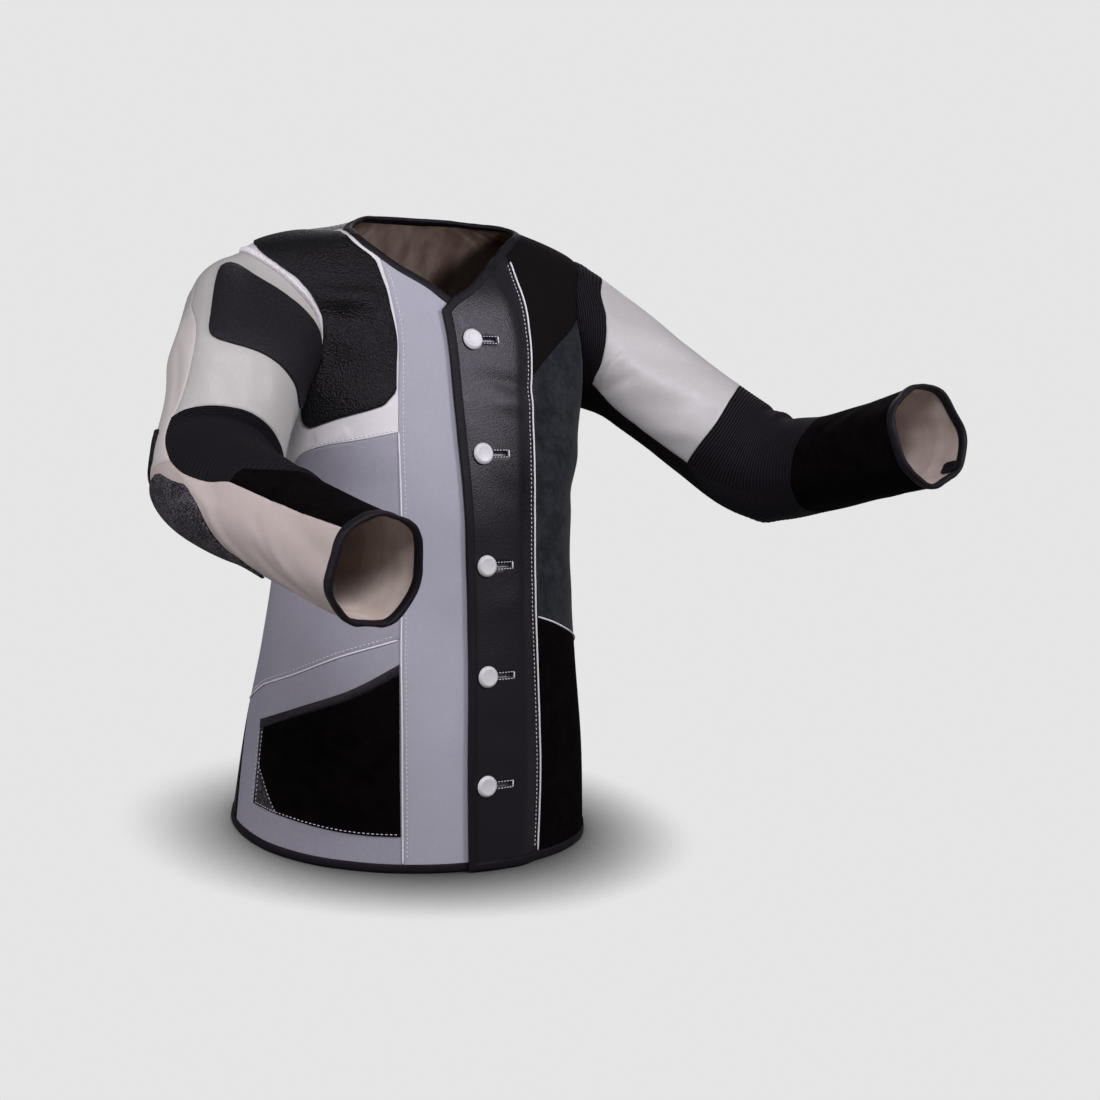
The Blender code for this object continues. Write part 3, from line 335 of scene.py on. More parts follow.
# %% Torso
Section = namedtuple("Section", "z half_width front back middle_x middle_y square")
TORSO = table(
    Section,
    (0.000, 0.196, 0.161, 0.170, 0.000, -0.022, 2.15),
    (0.100, 0.187, 0.157, 0.152, 0.000, -0.017, 2.15),
    (0.200, 0.173, 0.148, 0.130, 0.000, -0.010, 2.15),
    (0.300, 0.163, 0.139, 0.116, 0.000, 0.001, 2.20),
    (0.400, 0.169, 0.133, 0.112, 0.000, 0.017, 2.25),
    (0.480, 0.183, 0.121, 0.111, 0.000, 0.033, 2.30),
    (0.540, 0.195, 0.105, 0.104, 0.000, 0.042, 2.30),
    (0.580, 0.202, 0.092, 0.092, -0.006, 0.049, 2.20),
    (0.605, 0.191, 0.076, 0.080, -0.010, 0.052, 2.10),
    (0.625, 0.149, 0.062, 0.071, -0.006, 0.052, 2.00),
    (0.640, 0.102, 0.050, 0.064, 0.000, 0.050, 2.00),
    (0.650, 0.070, 0.040, 0.056, 0.000, 0.047, 2.00),
)


def torso(theta, z):
    """Point of the torso. theta is in degrees from the middle front towards the wearer's left."""
    heights = [row.z for row in TORSO]
    half_width, front, back, middle_x, middle_y, square = (
        curve(heights, [row[k] for row in TORSO], z) for k in range(1, 7))
    s, c = np.sin(np.radians(theta)), np.cos(np.radians(theta))
    x = middle_x + half_width * power(s, 2 / square)
    y = middle_y - np.where(c > 0, front, back) * power(c, 2 / square)
    rise = np.where(x > 0, RISE_LEFT, RISE_RIGHT) * (x / RISE_REACH) ** 2
    rise = rise * smooth((z - RISE_FOOT) / RISE_SPAN)
    return np.stack([x, y, z + rise], -1)


def body(t, z):
    """The torso with its front overlap: t runs from the left front's edge, round the back, to
    360 + UNDERLAP at the right front's edge, and the left front stands off the right one."""
    t, z = matched(t, z)
    lift = OVERLAP_LIFT * (1 - smooth((t - UNDERLAP) / OVERLAP_FADE))
    return torso(t, z) + normal(torso, t, z) * lift[..., None]


print("torso", TORSO[0].half_width * 2, "metres wide at the hem and", TORSO[-1].z, "metres high")

# %% [markdown]
# ## The sleeves' form
# A sleeve is a tube round a bent middle line. Its first stretch, the crown, has to leave the
# armhole, which is an oval cut into the torso's side, so the crown blends from that oval's shape
# to the round tube. A pair of directions is carried along the bend with as little turning as
# possible, so the tube doesn't twist.

# %% Sleeves
Armhole = namedtuple("Armhole", "z half_height half_angle square slant_front slant_back")
ARMHOLES = {"left": Armhole(0.528, 0.075, 39.0, 2.2, 0.36, 0.10),
            "right": Armhole(0.519, 0.080, 39.0, 2.0, 0.30, 0.10)}
Joint = namedtuple("Joint", "x y z across along")
SLEEVES = {
    "left": table(
        Joint,
        (None, None, None, 0.066, 0.066),
        (0.181, 0.014, 0.529, 0.065, 0.066),
        (0.242, -0.037, 0.489, 0.063, 0.064),
        (0.293, -0.095, 0.450, 0.060, 0.062),
        (0.326, -0.158, 0.421, 0.057, 0.060),
        (0.346, -0.225, 0.430, 0.052, 0.053),
        (0.358, -0.298, 0.460, 0.050, 0.050),
        (0.366, -0.373, 0.491, 0.0505, 0.052),
    ),
    "right": table(
        Joint,
        (None, None, None, 0.066, 0.070),
        (-0.227, -0.018, 0.516, 0.071, 0.078),
        (-0.257, -0.053, 0.461, 0.068, 0.070),
        (-0.279, -0.084, 0.408, 0.065, 0.066),
        (-0.291, -0.133, 0.392, 0.061, 0.061),
        (-0.276, -0.200, 0.384, 0.053, 0.053),
        (-0.253, -0.282, 0.373, 0.050, 0.051),
        (-0.236, -0.366, 0.366, 0.0495, 0.0535),
    ),
}
SIDE = {"left": 1, "right": -1}
SEAM_START = {"left": -30, "right": -60}
BLEND = 0.26                           # share of the sleeve that is crown
LEAVE = 0.50                           # the least that the crown leaves the armhole outwards
LINE_POINTS = 80
Bend = namedtuple("Bend", "middle half_length reach toward")
BENDS = {"left": Bend(0.53, 0.20, 0.10, 65), "right": Bend(0.43, 0.18, 0.12, 55)}


def armhole(side, phi):
    """(theta, z) of the armhole. phi: 0 front, 90 top, 180 back, 270 under the arm."""
    a = ARMHOLES[side]
    c, s = (power(f(np.radians(phi)), 2 / a.square) for f in (np.cos, np.sin))
    slant = np.where(c > 0, a.slant_front, a.slant_back)
    theta = 90 - a.half_angle * c * (1 + slant * s)
    return SIDE[side] * theta, a.z + a.half_height * s


class Sleeve:
    """Tube surface from the armhole to the cuff: (phi, v), with v from 0 to 1."""

    def __init__(self, side):
        self.side = side
        joints = SLEEVES[side]
        self.start = torso(*armhole(side, np.arange(0, 360, 5.0))).mean(0)
        knots = np.array([self.start] + [joint[:3] for joint in joints[1:]], float)
        reach = run_along(knots)
        at = np.linspace(0, reach[-1], LINE_POINTS)
        self.line = np.stack([curve(reach, knots[:, k], at) for k in range(3)], -1)
        run = run_along(self.line)
        self.length = run[-1]
        self.v = run / run[-1]
        self.stations = np.linspace(0, 1, len(joints))
        self.across = [joint.across for joint in joints]
        self.along = [joint.along for joint in joints]
        self.up, self.front = self.frames()

    def frames(self):
        """Directions up and front of every section, turned as little as the bends allow."""
        tangents = unit(np.gradient(self.line, axis=0))
        last = Vector((SIDE[self.side], 0, 0))
        up = Vector((0, 0, 1))
        ups = []
        for tangent in tangents:
            up = last.rotation_difference(Vector(tangent)) @ up
            last = Vector(tangent)
            up = (up - up.project(last)).normalized()
            ups.append(up.copy())
        ups = np.array(ups)
        return ups, np.cross(tangents, ups) * SIDE[self.side]

    def tube(self, phi, v):
        """The tube, bridged over the inside of its bend, where sections would fold over."""
        bend = BENDS[self.side]
        phi, v = matched(phi, v)
        share = (smooth((bend.half_length - np.abs(v - bend.middle)) / (0.6 * bend.half_length))
                 * (0.5 + 0.5 * np.cos(np.radians(phi - bend.toward))))
        if not share.any():
            return self.ring(phi, v)
        steps = np.linspace(-1, 1, 7)
        weights = np.exp(-2 * steps ** 2)
        return sum(weight * self.ring(phi, v + step * bend.reach * share)
                   for step, weight in zip(steps, weights)) / weights.sum()

    def ring(self, phi, v):
        """The plain tube round the middle line."""
        phi, v = matched(phi, v)
        middle, up, front = (np.stack([np.interp(v, self.v, a[:, k]) for k in range(3)], -1)
                             for a in (self.line, self.up, self.front))
        beyond = np.maximum(v - 1, 0)[..., None] * self.length
        middle = middle + beyond * np.cross(self.up[-1], self.front[-1]) * SIDE[self.side]
        across = curve(self.stations, self.across, v) * np.cos(np.radians(phi))
        along = curve(self.stations, self.along, v) * np.sin(np.radians(phi))
        return middle + front * across[..., None] + up * along[..., None]

    def __call__(self, phi, v):
        """The tube, with a crown that leaves the armhole outwards and runs into it."""
        phi, v = matched(phi, v)
        hole = armhole(self.side, phi)
        start, end = torso(*hole), self.tube(phi, BLEND)
        reach = np.linalg.norm(end - start, axis=-1, keepdims=True)
        leave = (end - start) / reach
        out = normal(torso, *hole)
        leave = leave + out * np.maximum(LEAVE - (leave * out).sum(-1, keepdims=True), 0)
        arrive = (self.tube(phi, BLEND + 0.01) - self.tube(phi, BLEND - 0.01)) / 0.02 * BLEND
        t = np.minimum(v / BLEND, 1)[..., None]
        crown = ((2 * t**3 - 3 * t**2 + 1) * start + (t**3 - 2 * t**2 + t) * reach * leave
                 + (3 * t**2 - 2 * t**3) * end + (t**3 - t**2) * arrive)
        return np.where(v[..., None] < BLEND, crown, self.tube(phi, v))


TUBES = {side: Sleeve(side) for side in SIDE}
print("sleeves", [round(TUBES[side].length, 3) for side in SIDE], "metres long")

# %% [markdown]
# ## Creases
# Stiff cloth doesn't crumple. It has a few long soft folds where an arm would pull at it, and
# short puckers along its seams. Each fold is given as a line on the sheet, with a width
# and a height, and no two are alike. A ridge has a positive height and a trough a negative one.
# The surface is moved along its own normal, so everything that is cut from it or laid on it
# follows the same folds. A long slow wave keeps the plain stretches from looking machined.

# %% Creases
Fold = namedtuple("Fold", "u1 v1 u2 v2 width height")
TORSO_FOLDS = table(
    Fold,
    (315, 0.567, 333, 0.570, 0.008, 0.0056), (333, 0.568, 336, 0.525, 0.010, 0.0036),
    (314, 0.545, 328, 0.548, 0.012, -0.0050), (306, 0.505, 328, 0.500, 0.026, -0.0040),
    (236, 0.643, 304, 0.637, 0.032, -0.0080), (300, 0.470, 328, 0.478, 0.018, 0.0018),
    (283, 0.402, 312, 0.436, 0.007, 0.0026), (278, 0.388, 296, 0.424, 0.006, -0.0022),
    (286, 0.378, 330, 0.392, 0.022, -0.0024), (282, 0.330, 318, 0.352, 0.018, 0.0026),
    (345, 0.470, 356, 0.415, 0.016, -0.0014), (343, 0.372, 357, 0.350, 0.018, 0.0014),
    (340, 0.262, 356, 0.240, 0.020, -0.0012), (345, 0.120, 352, 0.170, 0.020, 0.0013),
    (286, 0.020, 292, 0.120, 0.020, 0.0020), (318, 0.015, 322, 0.080, 0.022, -0.0018),
    (268, 0.060, 262, 0.150, 0.022, -0.0020), (2, 0.498, 19, 0.487, 0.008, -0.0016),
    (4, 0.475, 18, 0.470, 0.010, 0.0016), (3, 0.395, 18, 0.372, 0.013, -0.0010),
    (4, 0.270, 18, 0.285, 0.014, 0.0010), (3, 0.150, 17, 0.135, 0.014, -0.0010),
    (30, 0.560, 52, 0.520, 0.016, 0.0022), (28, 0.500, 55, 0.478, 0.014, -0.0018),
    (40, 0.420, 76, 0.400, 0.018, 0.0024), (48, 0.385, 82, 0.352, 0.016, -0.0022),
    (32, 0.300, 60, 0.270, 0.022, 0.0018), (45, 0.150, 50, 0.030, 0.024, 0.0026),
    (76, 0.140, 80, 0.020, 0.026, -0.0028), (112, 0.400, 140, 0.360, 0.016, 0.0026),
    (116, 0.440, 150, 0.430, 0.014, -0.0022), (130, 0.290, 172, 0.270, 0.020, 0.0030),
    (150, 0.250, 205, 0.235, 0.016, -0.0030), (196, 0.300, 236, 0.282, 0.018, 0.0026),
    (214, 0.395, 244, 0.372, 0.015, -0.0022), (165, 0.110, 168, 0.010, 0.026, 0.0034),
    (196, 0.130, 202, 0.010, 0.022, -0.0030), (140, 0.520, 166, 0.585, 0.018, 0.0024),
    (206, 0.515, 190, 0.590, 0.016, -0.0022),
)
SLEEVE_FOLDS = {
    "left": table(
        Fold,
        (-14, 0.110, 18, 0.165, 0.0055, 0.0032), (-26, 0.135, 6, 0.205, 0.0060, -0.0030),
        (18, 0.150, 62, 0.320, 0.0140, -0.0024), (34, 0.120, 80, 0.260, 0.0160, 0.0022),
        (-10, 0.250, 24, 0.400, 0.0130, -0.0024), (-30, 0.300, -4, 0.420, 0.0090, 0.0020),
        (112, 0.120, 140, 0.300, 0.0130, 0.0026), (182, 0.100, 214, 0.220, 0.0100, -0.0030),
        (226, 0.110, 236, 0.300, 0.0110, 0.0030), (262, 0.080, 282, 0.200, 0.0090, -0.0032),
        (296, 0.180, 300, 0.360, 0.0110, 0.0026), (62, 0.520, 128, 0.505, 0.0080, -0.0030),
        (56, 0.575, 120, 0.562, 0.0080, 0.0026), (70, 0.625, 124, 0.612, 0.0075, -0.0022),
        (225, 0.560, 285, 0.580, 0.0090, 0.0030), (20, 0.770, 60, 0.860, 0.0110, -0.0016),
        (330, 0.760, 350, 0.930, 0.0120, 0.0018), (120, 0.780, 170, 0.900, 0.0120, -0.0020),
        (210, 0.760, 250, 0.880, 0.0110, 0.0020),
    ),
    "right": table(
        Fold,
        (72, 0.235, 60, 0.345, 0.0120, -0.0024), (40, 0.250, 20, 0.360, 0.0130, 0.0024),
        (98, 0.200, 88, 0.350, 0.0090, 0.0018), (-20, 0.300, -45, 0.420, 0.0100, -0.0026),
        (130, 0.230, 116, 0.370, 0.0080, -0.0022), (160, 0.220, 148, 0.400, 0.0110, 0.0024),
        (185, 0.260, 190, 0.380, 0.0100, -0.0024), (214, 0.140, 226, 0.330, 0.0110, 0.0028),
        (244, 0.120, 268, 0.260, 0.0100, -0.0030), (270, 0.260, 250, 0.420, 0.0100, 0.0028),
        (-50, 0.470, 20, 0.455, 0.0085, -0.0034), (-45, 0.530, 30, 0.520, 0.0080, 0.0026),
        (-40, 0.590, 36, 0.585, 0.0085, -0.0026), (128, 0.560, 146, 0.640, 0.0040, 0.0024),
        (146, 0.640, 176, 0.690, 0.0040, 0.0024), (176, 0.690, 196, 0.745, 0.0040, 0.0020),
        (122, 0.610, 136, 0.660, 0.0060, -0.0018), (116, 0.650, 104, 0.742, 0.0080, 0.0016),
        (112, 0.655, 96, 0.668, 0.0045, 0.0026), (96, 0.668, 70, 0.715, 0.0045, 0.0028),
        (70, 0.715, 30, 0.737, 0.0045, 0.0026), (108, 0.690, 100, 0.735, 0.0035, 0.0012),
        (104, 0.760, 116, 0.775, 0.0032, -0.0012), (103, 0.790, 114, 0.812, 0.0040, 0.0012),
        (102, 0.845, 113, 0.860, 0.0035, -0.0012), (136, 0.750, 172, 0.840, 0.0060, -0.0014),
        (150, 0.780, 190, 0.930, 0.0075, 0.0018), (168, 0.770, 208, 0.900, 0.0060, -0.0016),
        (192, 0.800, 222, 0.940, 0.0055, 0.0016), (120, 0.820, 140, 0.950, 0.0100, -0.0014),
        (240, 0.640, 290, 0.800, 0.0120, 0.0026), (262, 0.600, 300, 0.720, 0.0090, -0.0024),
        (60, 0.800, 70, 0.930, 0.0120, -0.0014), (10, 0.800, 20, 0.940, 0.0120, 0.0016),
    ),
}


# Where the cloth hangs closer to the arm, or stands further out, than the plain tube.
Drape = namedtuple("Drape", "phi v reach_phi reach_v height")
DRAPES = {
    "left": table(Drape, (94, 0.10, 48, 0.085, -0.0090), (94, 0.36, 50, 0.15, -0.0040),
                  (278, 0.22, 50, 0.16, -0.0100), (280, 0.70, 45, 0.10, -0.0095),
                  (94, 0.61, 40, 0.05, -0.0050)),
    "right": table(Drape, (118, 0.080, 34, 0.055, 0.0100), (160, 0.33, 42, 0.10, -0.0100),
                   (218, 0.55, 36, 0.085, -0.0110), (216, 0.68, 40, 0.07, -0.0040)),
}


def drape_height(drapes, phi, v):
    """Height of all the drapes at points of a sleeve."""
    return sum(drape.height
               * np.exp(-(((phi - drape.phi + 180) % 360 - 180) / drape.reach_phi) ** 2
                        - ((v - drape.v) / drape.reach_v) ** 2) for drape in drapes)


def fold_height(folds, flatten, u, v):
    """Height of all the folds at points of a sheet, also one full turn on or back."""
    total = np.zeros(np.shape(u))
    for turn in (-360, 0, 360):
        flat = flatten(np.stack([u + turn, v], -1))
        for fold in folds:
            start, end = flatten(np.array([(fold.u1, fold.v1), (fold.u2, fold.v2)], float))
            run = end - start
            share = np.clip((flat - start) @ run / (run @ run), 0, 1)
            away = np.linalg.norm(flat - start - share[..., None] * run, axis=-1)
            swell = 0.55 + 0.45 * np.sin(pi * share)
            total += fold.height * swell * np.exp(-(away / fold.width) ** 2)
    return total


def slow_wave(u, v, rate, height):
    """A long uneven wave that closes after a full turn."""
    a = np.radians(u)
    return height * (np.sin(3 * a + 7 * v * rate) + 0.7 * np.sin(5 * a - 11 * v * rate + 1.3)
                     + 0.5 * np.sin(8 * a + 17 * v * rate + 2.1)) / 2.2


def creased(form, height, sign=1):
    """The form moved along its normal by a height: a new surface to draw on."""
    def place(u, v):
        u, v = matched(u, v)
        return form(u, v) + normal(form, u, v) * (sign * height(u, v))[..., None]
    return place


print("folds:", len(TORSO_FOLDS), "on the torso,", sum(map(len, SLEEVE_FOLDS.values())),
      "on the sleeves")

# %% [markdown]
# ## A sheet with lines drawn on it
# Cloth is cut flat and sewn along lines, and the model does the same. A sheet is a surface with
# its seams, outlines and edges drawn on it. One constrained triangulation takes all the lines
# and a fine lattice of points between them, so the pieces cut from it share their seam points
# exactly. Seams could also be made by cutting separate meshes against each other, but then
# neighbours never quite meet.

# %% Lines and triangles
ROW_PITCH, LEAST_ROOM = 0.87, 0.55     # between lattice rows, and from a line's points, in cells
SLIT_POINT, JOIN_POINT = 1, 2


class Sheet:
    """A surface with lines drawn on it. A line has a kind: rim (where the sheet ends), join
    (where it meets itself), slit (a buttonhole), seam, or pad (an outline that only what lies
    on top follows)."""

    def __init__(self, place, flatten, unflatten, cell, sign=1):
        self.place, self.flatten, self.unflatten = place, flatten, unflatten
        self.cell, self.sign = cell, sign
        self.lines, self.kinds, self.joints = {}, {}, {}

    def points(self, uv):
        return self.place(uv[:, 0], uv[:, 1])

    def outward(self, uv):
        n = normal(self.place, uv[:, 0], uv[:, 1]) * self.sign
        if self.joints:
            for i, key in enumerate(map(tuple, np.round(uv, 4))):
                if key in self.joints:
                    n[i] = self.joints[key]
        return n

    def trace(self, knots, step=None):
        """Smooth line through the knots, with a point on every knot."""
        knots = np.array(knots, float)
        flat = self.flatten(knots)
        at = run_along(flat)
        step = step or self.cell
        marks = [np.linspace(a, b, max(int(np.ceil((b - a) / step)), 1), endpoint=False)
                 for a, b in zip(at, at[1:])]
        marks = np.concatenate(marks + [at[-1:]])
        return np.stack([curve(at, knots[:, k], marks) for k in range(2)], -1)

    def outline(self, knots, corner=0.003):
        """Closed line with straight sides and slightly rounded corners."""
        flat = self.flatten(np.array(knots[:-1], float))
        rounded = []
        for before, here, after in zip(np.roll(flat, 1, 0), flat, np.roll(flat, -1, 0)):
            for other in (before, after):
                leg = other - here
                length = np.linalg.norm(leg)
                rounded.append(here + leg / length * min(0.3 * length, corner))
        rounded.append(rounded[0])
        run = [np.linspace(a, b, max(int(np.ceil(np.linalg.norm(b - a) / self.cell)), 1),
                           endpoint=False) for a, b in zip(rounded, rounded[1:])]
        return self.unflatten(np.concatenate(run + [rounded[:1]]))

    def draw(self, name, kind, points):
        """Adds a line. Its points are kept as they are."""
        self.lines[name] = np.array(points, float)
        self.kinds[name] = kind
        return self.lines[name]

    def rule(self, name, kind, knots):
        """Adds a smooth line through the knots."""
        return self.draw(name, kind, self.trace(knots))

    def inset(self, line, distance):
        """The line moved over the sheet to its own left, by one distance or one for each point."""
        at = self.points(line)
        out = normal(self.place, line[:, 0], line[:, 1])
        sides = unit(np.cross(out[:-1] + out[1:], np.diff(at, axis=0)))
        before, after = np.concatenate([sides[:1], sides]), np.concatenate([sides, sides[-1:]])
        mitre = (before + after) / (1 + (before * after).sum(1))[:, None]
        move = mitre * np.broadcast_to(distance, len(line))[:, None]
        du, dv = 0.2, 0.001
        slope_u = (self.points(line + (du, 0)) - self.points(line - (du, 0))) / (2 * du)
        slope_v = (self.points(line + (0, dv)) - self.points(line - (0, dv))) / (2 * dv)
        slopes = np.stack([slope_u, slope_v], -1)
        return line + np.einsum("nij,nj->ni", np.linalg.pinv(slopes), move)

    def divide(self, lower, upper):
        """Makes the triangles, with a lattice of points between the corners (u, v) given."""
        points = np.concatenate(list(self.lines.values()))
        pairs, owner = [], []
        start = 0
        for name, line in self.lines.items():
            pairs += [(start + i, start + i + 1) for i in range(len(line) - 1)]
            owner += [name] * (len(line) - 1)
            start += len(line)
        flat = self.flatten(points)
        tree = KDTree(2 * len(flat))
        for i, (a, b) in enumerate(pairs):
            tree.insert((*flat[a], 0), 2 * i)
            tree.insert((*((flat[a] + flat[b]) / 2), 0), 2 * i + 1)
        tree.balance()
        (x0, y0), (x1, y1) = self.flatten(np.array([lower, upper], float))
        free = []
        for row, y in enumerate(np.arange(y0, y1, self.cell * ROW_PITCH)):
            for x in np.arange(x0 + (row % 2) * self.cell / 2, x1, self.cell):
                if tree.find((x, y, 0))[2] > LEAST_ROOM * self.cell:
                    free.append((x, y))
        result = delaunay_2d_cdt([Vector(p) for p in np.concatenate([flat, free])],
                                 pairs, [], 0, 1e-5)
        verts, edges, faces, vert_source, edge_source, _ = result
        self.faces = np.array(faces)
        self.uv = self.unflatten(np.array([tuple(v) for v in verts]))
        for i, source in enumerate(vert_source):
            known = [k for k in source if k < len(points)]
            if known:
                self.uv[i] = points[known[0]]
        self.base, self.out = self.points(self.uv), self.outward(self.uv)
        self.marks = {}
        for edge, source in zip(edges, edge_source):
            names = {owner[k] for k in source if k < len(owner)}
            if names:
                self.marks[frozenset(edge)] = names
        self.sides = {}
        for i, face in enumerate(faces):
            for edge in zip(face, face[1:] + face[:1]):
                self.sides.setdefault(frozenset(edge), []).append(i)
        print("  ", len(self.uv), "points and", len(faces), "triangles")

    def holding(self, seed):
        """The triangle that holds the point seed."""
        corners = self.flatten(self.uv)[self.faces]
        away = corners - self.flatten(np.array([seed], float))[0]
        ahead = np.roll(away, -1, axis=1)
        turns = away[..., 0] * ahead[..., 1] - away[..., 1] * ahead[..., 0]
        inside = (turns >= 0).all(1) | (turns <= 0).all(1)
        return int(np.nonzero(inside)[0][0])

    def cut(self, seed, stops=("rim", "join", "slit", "seam")):
        """The patch of triangles round the seed, as far as the lines of the kinds in stops."""
        wall = {edge for edge, names in self.marks.items()
                if {self.kinds[name] for name in names} & set(stops)}
        start = self.holding(seed)
        found, waiting = {start}, [start]
        faces = self.faces.tolist()
        while waiting:
            a, b, c = faces[waiting.pop()]
            for edge in (frozenset((a, b)), frozenset((b, c)), frozenset((c, a))):
                if edge not in wall:
                    for other in self.sides[edge]:
                        if other not in found:
                            found.add(other)
                            waiting.append(other)
        chosen = self.faces[sorted(found)]
        used, local = np.unique(chosen, return_inverse=True)
        fine = {"slit": {}, "join": {}}
        for edge, names in self.marks.items():
            for kind in {self.kinds[name] for name in names} & set(fine):
                fine[kind].update(dict.fromkeys(edge))
        chosen = local.reshape(-1, 3)
        if self.sign < 0:
            chosen = chosen[:, ::-1]
        return Patch(self, self.uv[used], self.base[used], self.out[used], chosen,
                     np.array([SLIT_POINT if i in fine["slit"] else
                               JOIN_POINT if i in fine["join"] else 0 for i in used]))


class Patch:
    """Triangles cut out of a sheet, seen from outside, with their points' places."""

    def __init__(self, sheet, uv, base, out, faces, fine):
        self.sheet, self.uv, self.base, self.out, self.faces = sheet, uv, base, out, faces
        self.fine = fine                 # SLIT_POINT, JOIN_POINT or 0 for each point

    def refine(self):
        """Every triangle in four."""
        edges = np.sort(np.concatenate([self.faces[:, [0, 1]], self.faces[:, [1, 2]],
                                        self.faces[:, [2, 0]]]), axis=1)
        edges, back = np.unique(edges, axis=0, return_inverse=True)
        back = back.reshape(3, -1).T + len(self.uv)
        a, b, c = self.faces.T
        ab, bc, ca = back.T
        uv = self.uv[edges].mean(1)
        out = unit(self.out[edges].mean(1))
        return Patch(self.sheet, np.concatenate([self.uv, uv]),
                     np.concatenate([self.base, self.sheet.points(uv)]),
                     np.concatenate([self.out, out]),
                     np.concatenate([np.stack(t, 1) for t in
                                     ((a, ab, ca), (ab, b, bc), (ca, bc, c), (ab, bc, ca))]),
                     np.concatenate([self.fine, self.fine[edges].min(1)]))

    def border(self):
        """Edges of one triangle only, in that triangle's order, each with its third point."""
        rows = np.concatenate([self.faces, np.roll(self.faces, -1, 1), np.roll(self.faces, -2, 1)])
        _, back, count = np.unique(np.sort(rows[:, :2], axis=1), axis=0, return_inverse=True,
                                   return_counts=True)
        return rows[count[back.ravel()] == 1]

    def from_edge(self):
        """Distance of every point from the nearest point of the border, in metres."""
        rim = np.unique(self.border()[:, :2])
        tree = KDTree(len(rim))
        for k, i in enumerate(rim):
            tree.insert(self.base[i], k)
        tree.balance()
        return np.array([tree.find(point)[2] for point in self.base])

    def inward(self, border):
        """Mitred moves of one metre for the border's points, square to their own edges."""
        a, b, c = border.T
        pull = unit(np.cross(self.out[a] + self.out[b], self.base[b] - self.base[a]))
        flip = (pull * (self.base[c] - self.base[a])).sum(1) < 0
        pull[flip] *= -1
        total = np.zeros_like(self.base)
        np.add.at(total, a, pull)
        np.add.at(total, b, pull)
        size = (total ** 2).sum(1) / 2
        return total / np.maximum(size, 0.5)[:, None]


print("a sheet is ready to be drawn on")

# %% [markdown]
# ## From a patch to a piece of cloth
# A cut piece is a closed thin shell: its outer face, an edge that rolls down into the seam, and
# its inner face, which shows the pale back of the material at the neck and the cuffs. The rolled
# edge is what makes a seam read as sewn: light catches the fold and the line between two pieces
# lies in a small valley. A Solidify modifier would make the shell too, but with square edges.

# %% Shells
Edge = namedtuple("Edge", "roll drop")       # how far in the edge starts to roll, and how deep
SEAM_EDGE = Edge(0.0018, 0.0008)
PAD_EDGE = Edge(0.0013, 0.0013)
RIB_EDGE = Edge(0.0004, 0.0006)
FINE_EDGE = Edge(0.0007, 0.0008)
SHARP_ANGLE = radians(60)
PIECES = {}
MATERIALS = {}


def add_layer(mesh, name, uv):
    """A UV map from one pair of numbers for each point."""
    layer = mesh.uv_layers.new(name=name)
    corners = np.zeros(len(mesh.loops), np.int32)
    mesh.loops.foreach_get("vertex_index", corners)
    layer.data.foreach_set("uv", np.asarray(uv, np.float32)[corners].ravel())


def flat_mesh(name, points, faces, uv, materials, face_slots=None):
    """A mesh from triangles and quads, with its sheet coordinates in metres as its UV map."""
    mesh = bpy.data.meshes.new(name)
    mesh.from_pydata(np.asarray(points) + SETTLE, [], faces)
    add_layer(mesh, "cut", uv)
    if face_slots is not None:
        mesh.polygons.foreach_set("material_index", np.asarray(face_slots, np.int32))
    for material in materials:
        mesh.materials.append(MATERIALS[material])
    mesh.shade_smooth()
    mesh.set_sharp_from_angle(angle=SHARP_ANGLE)
    mesh.update()
    return mesh


def grid(rows, columns, close_rows=False, close_columns=False):
    """Quads between the points of a grid, whose rows or columns may close into rings."""
    return [[r * columns + c, r * columns + d, q * columns + d, q * columns + c]
            for r in range(rows if close_rows else rows - 1) for q in [(r + 1) % rows]
            for c in range(columns if close_columns else columns - 1)
            for d in [(c + 1) % columns]]


def keep(name, mesh, slot, *nodes):
    """Makes the piece, which rides on the one body and stands for its solids."""
    thing = add_object(name, mesh)
    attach(thing, "root")
    if nodes:
        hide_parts(*nodes)
    PIECES[name] = thing
    return thing


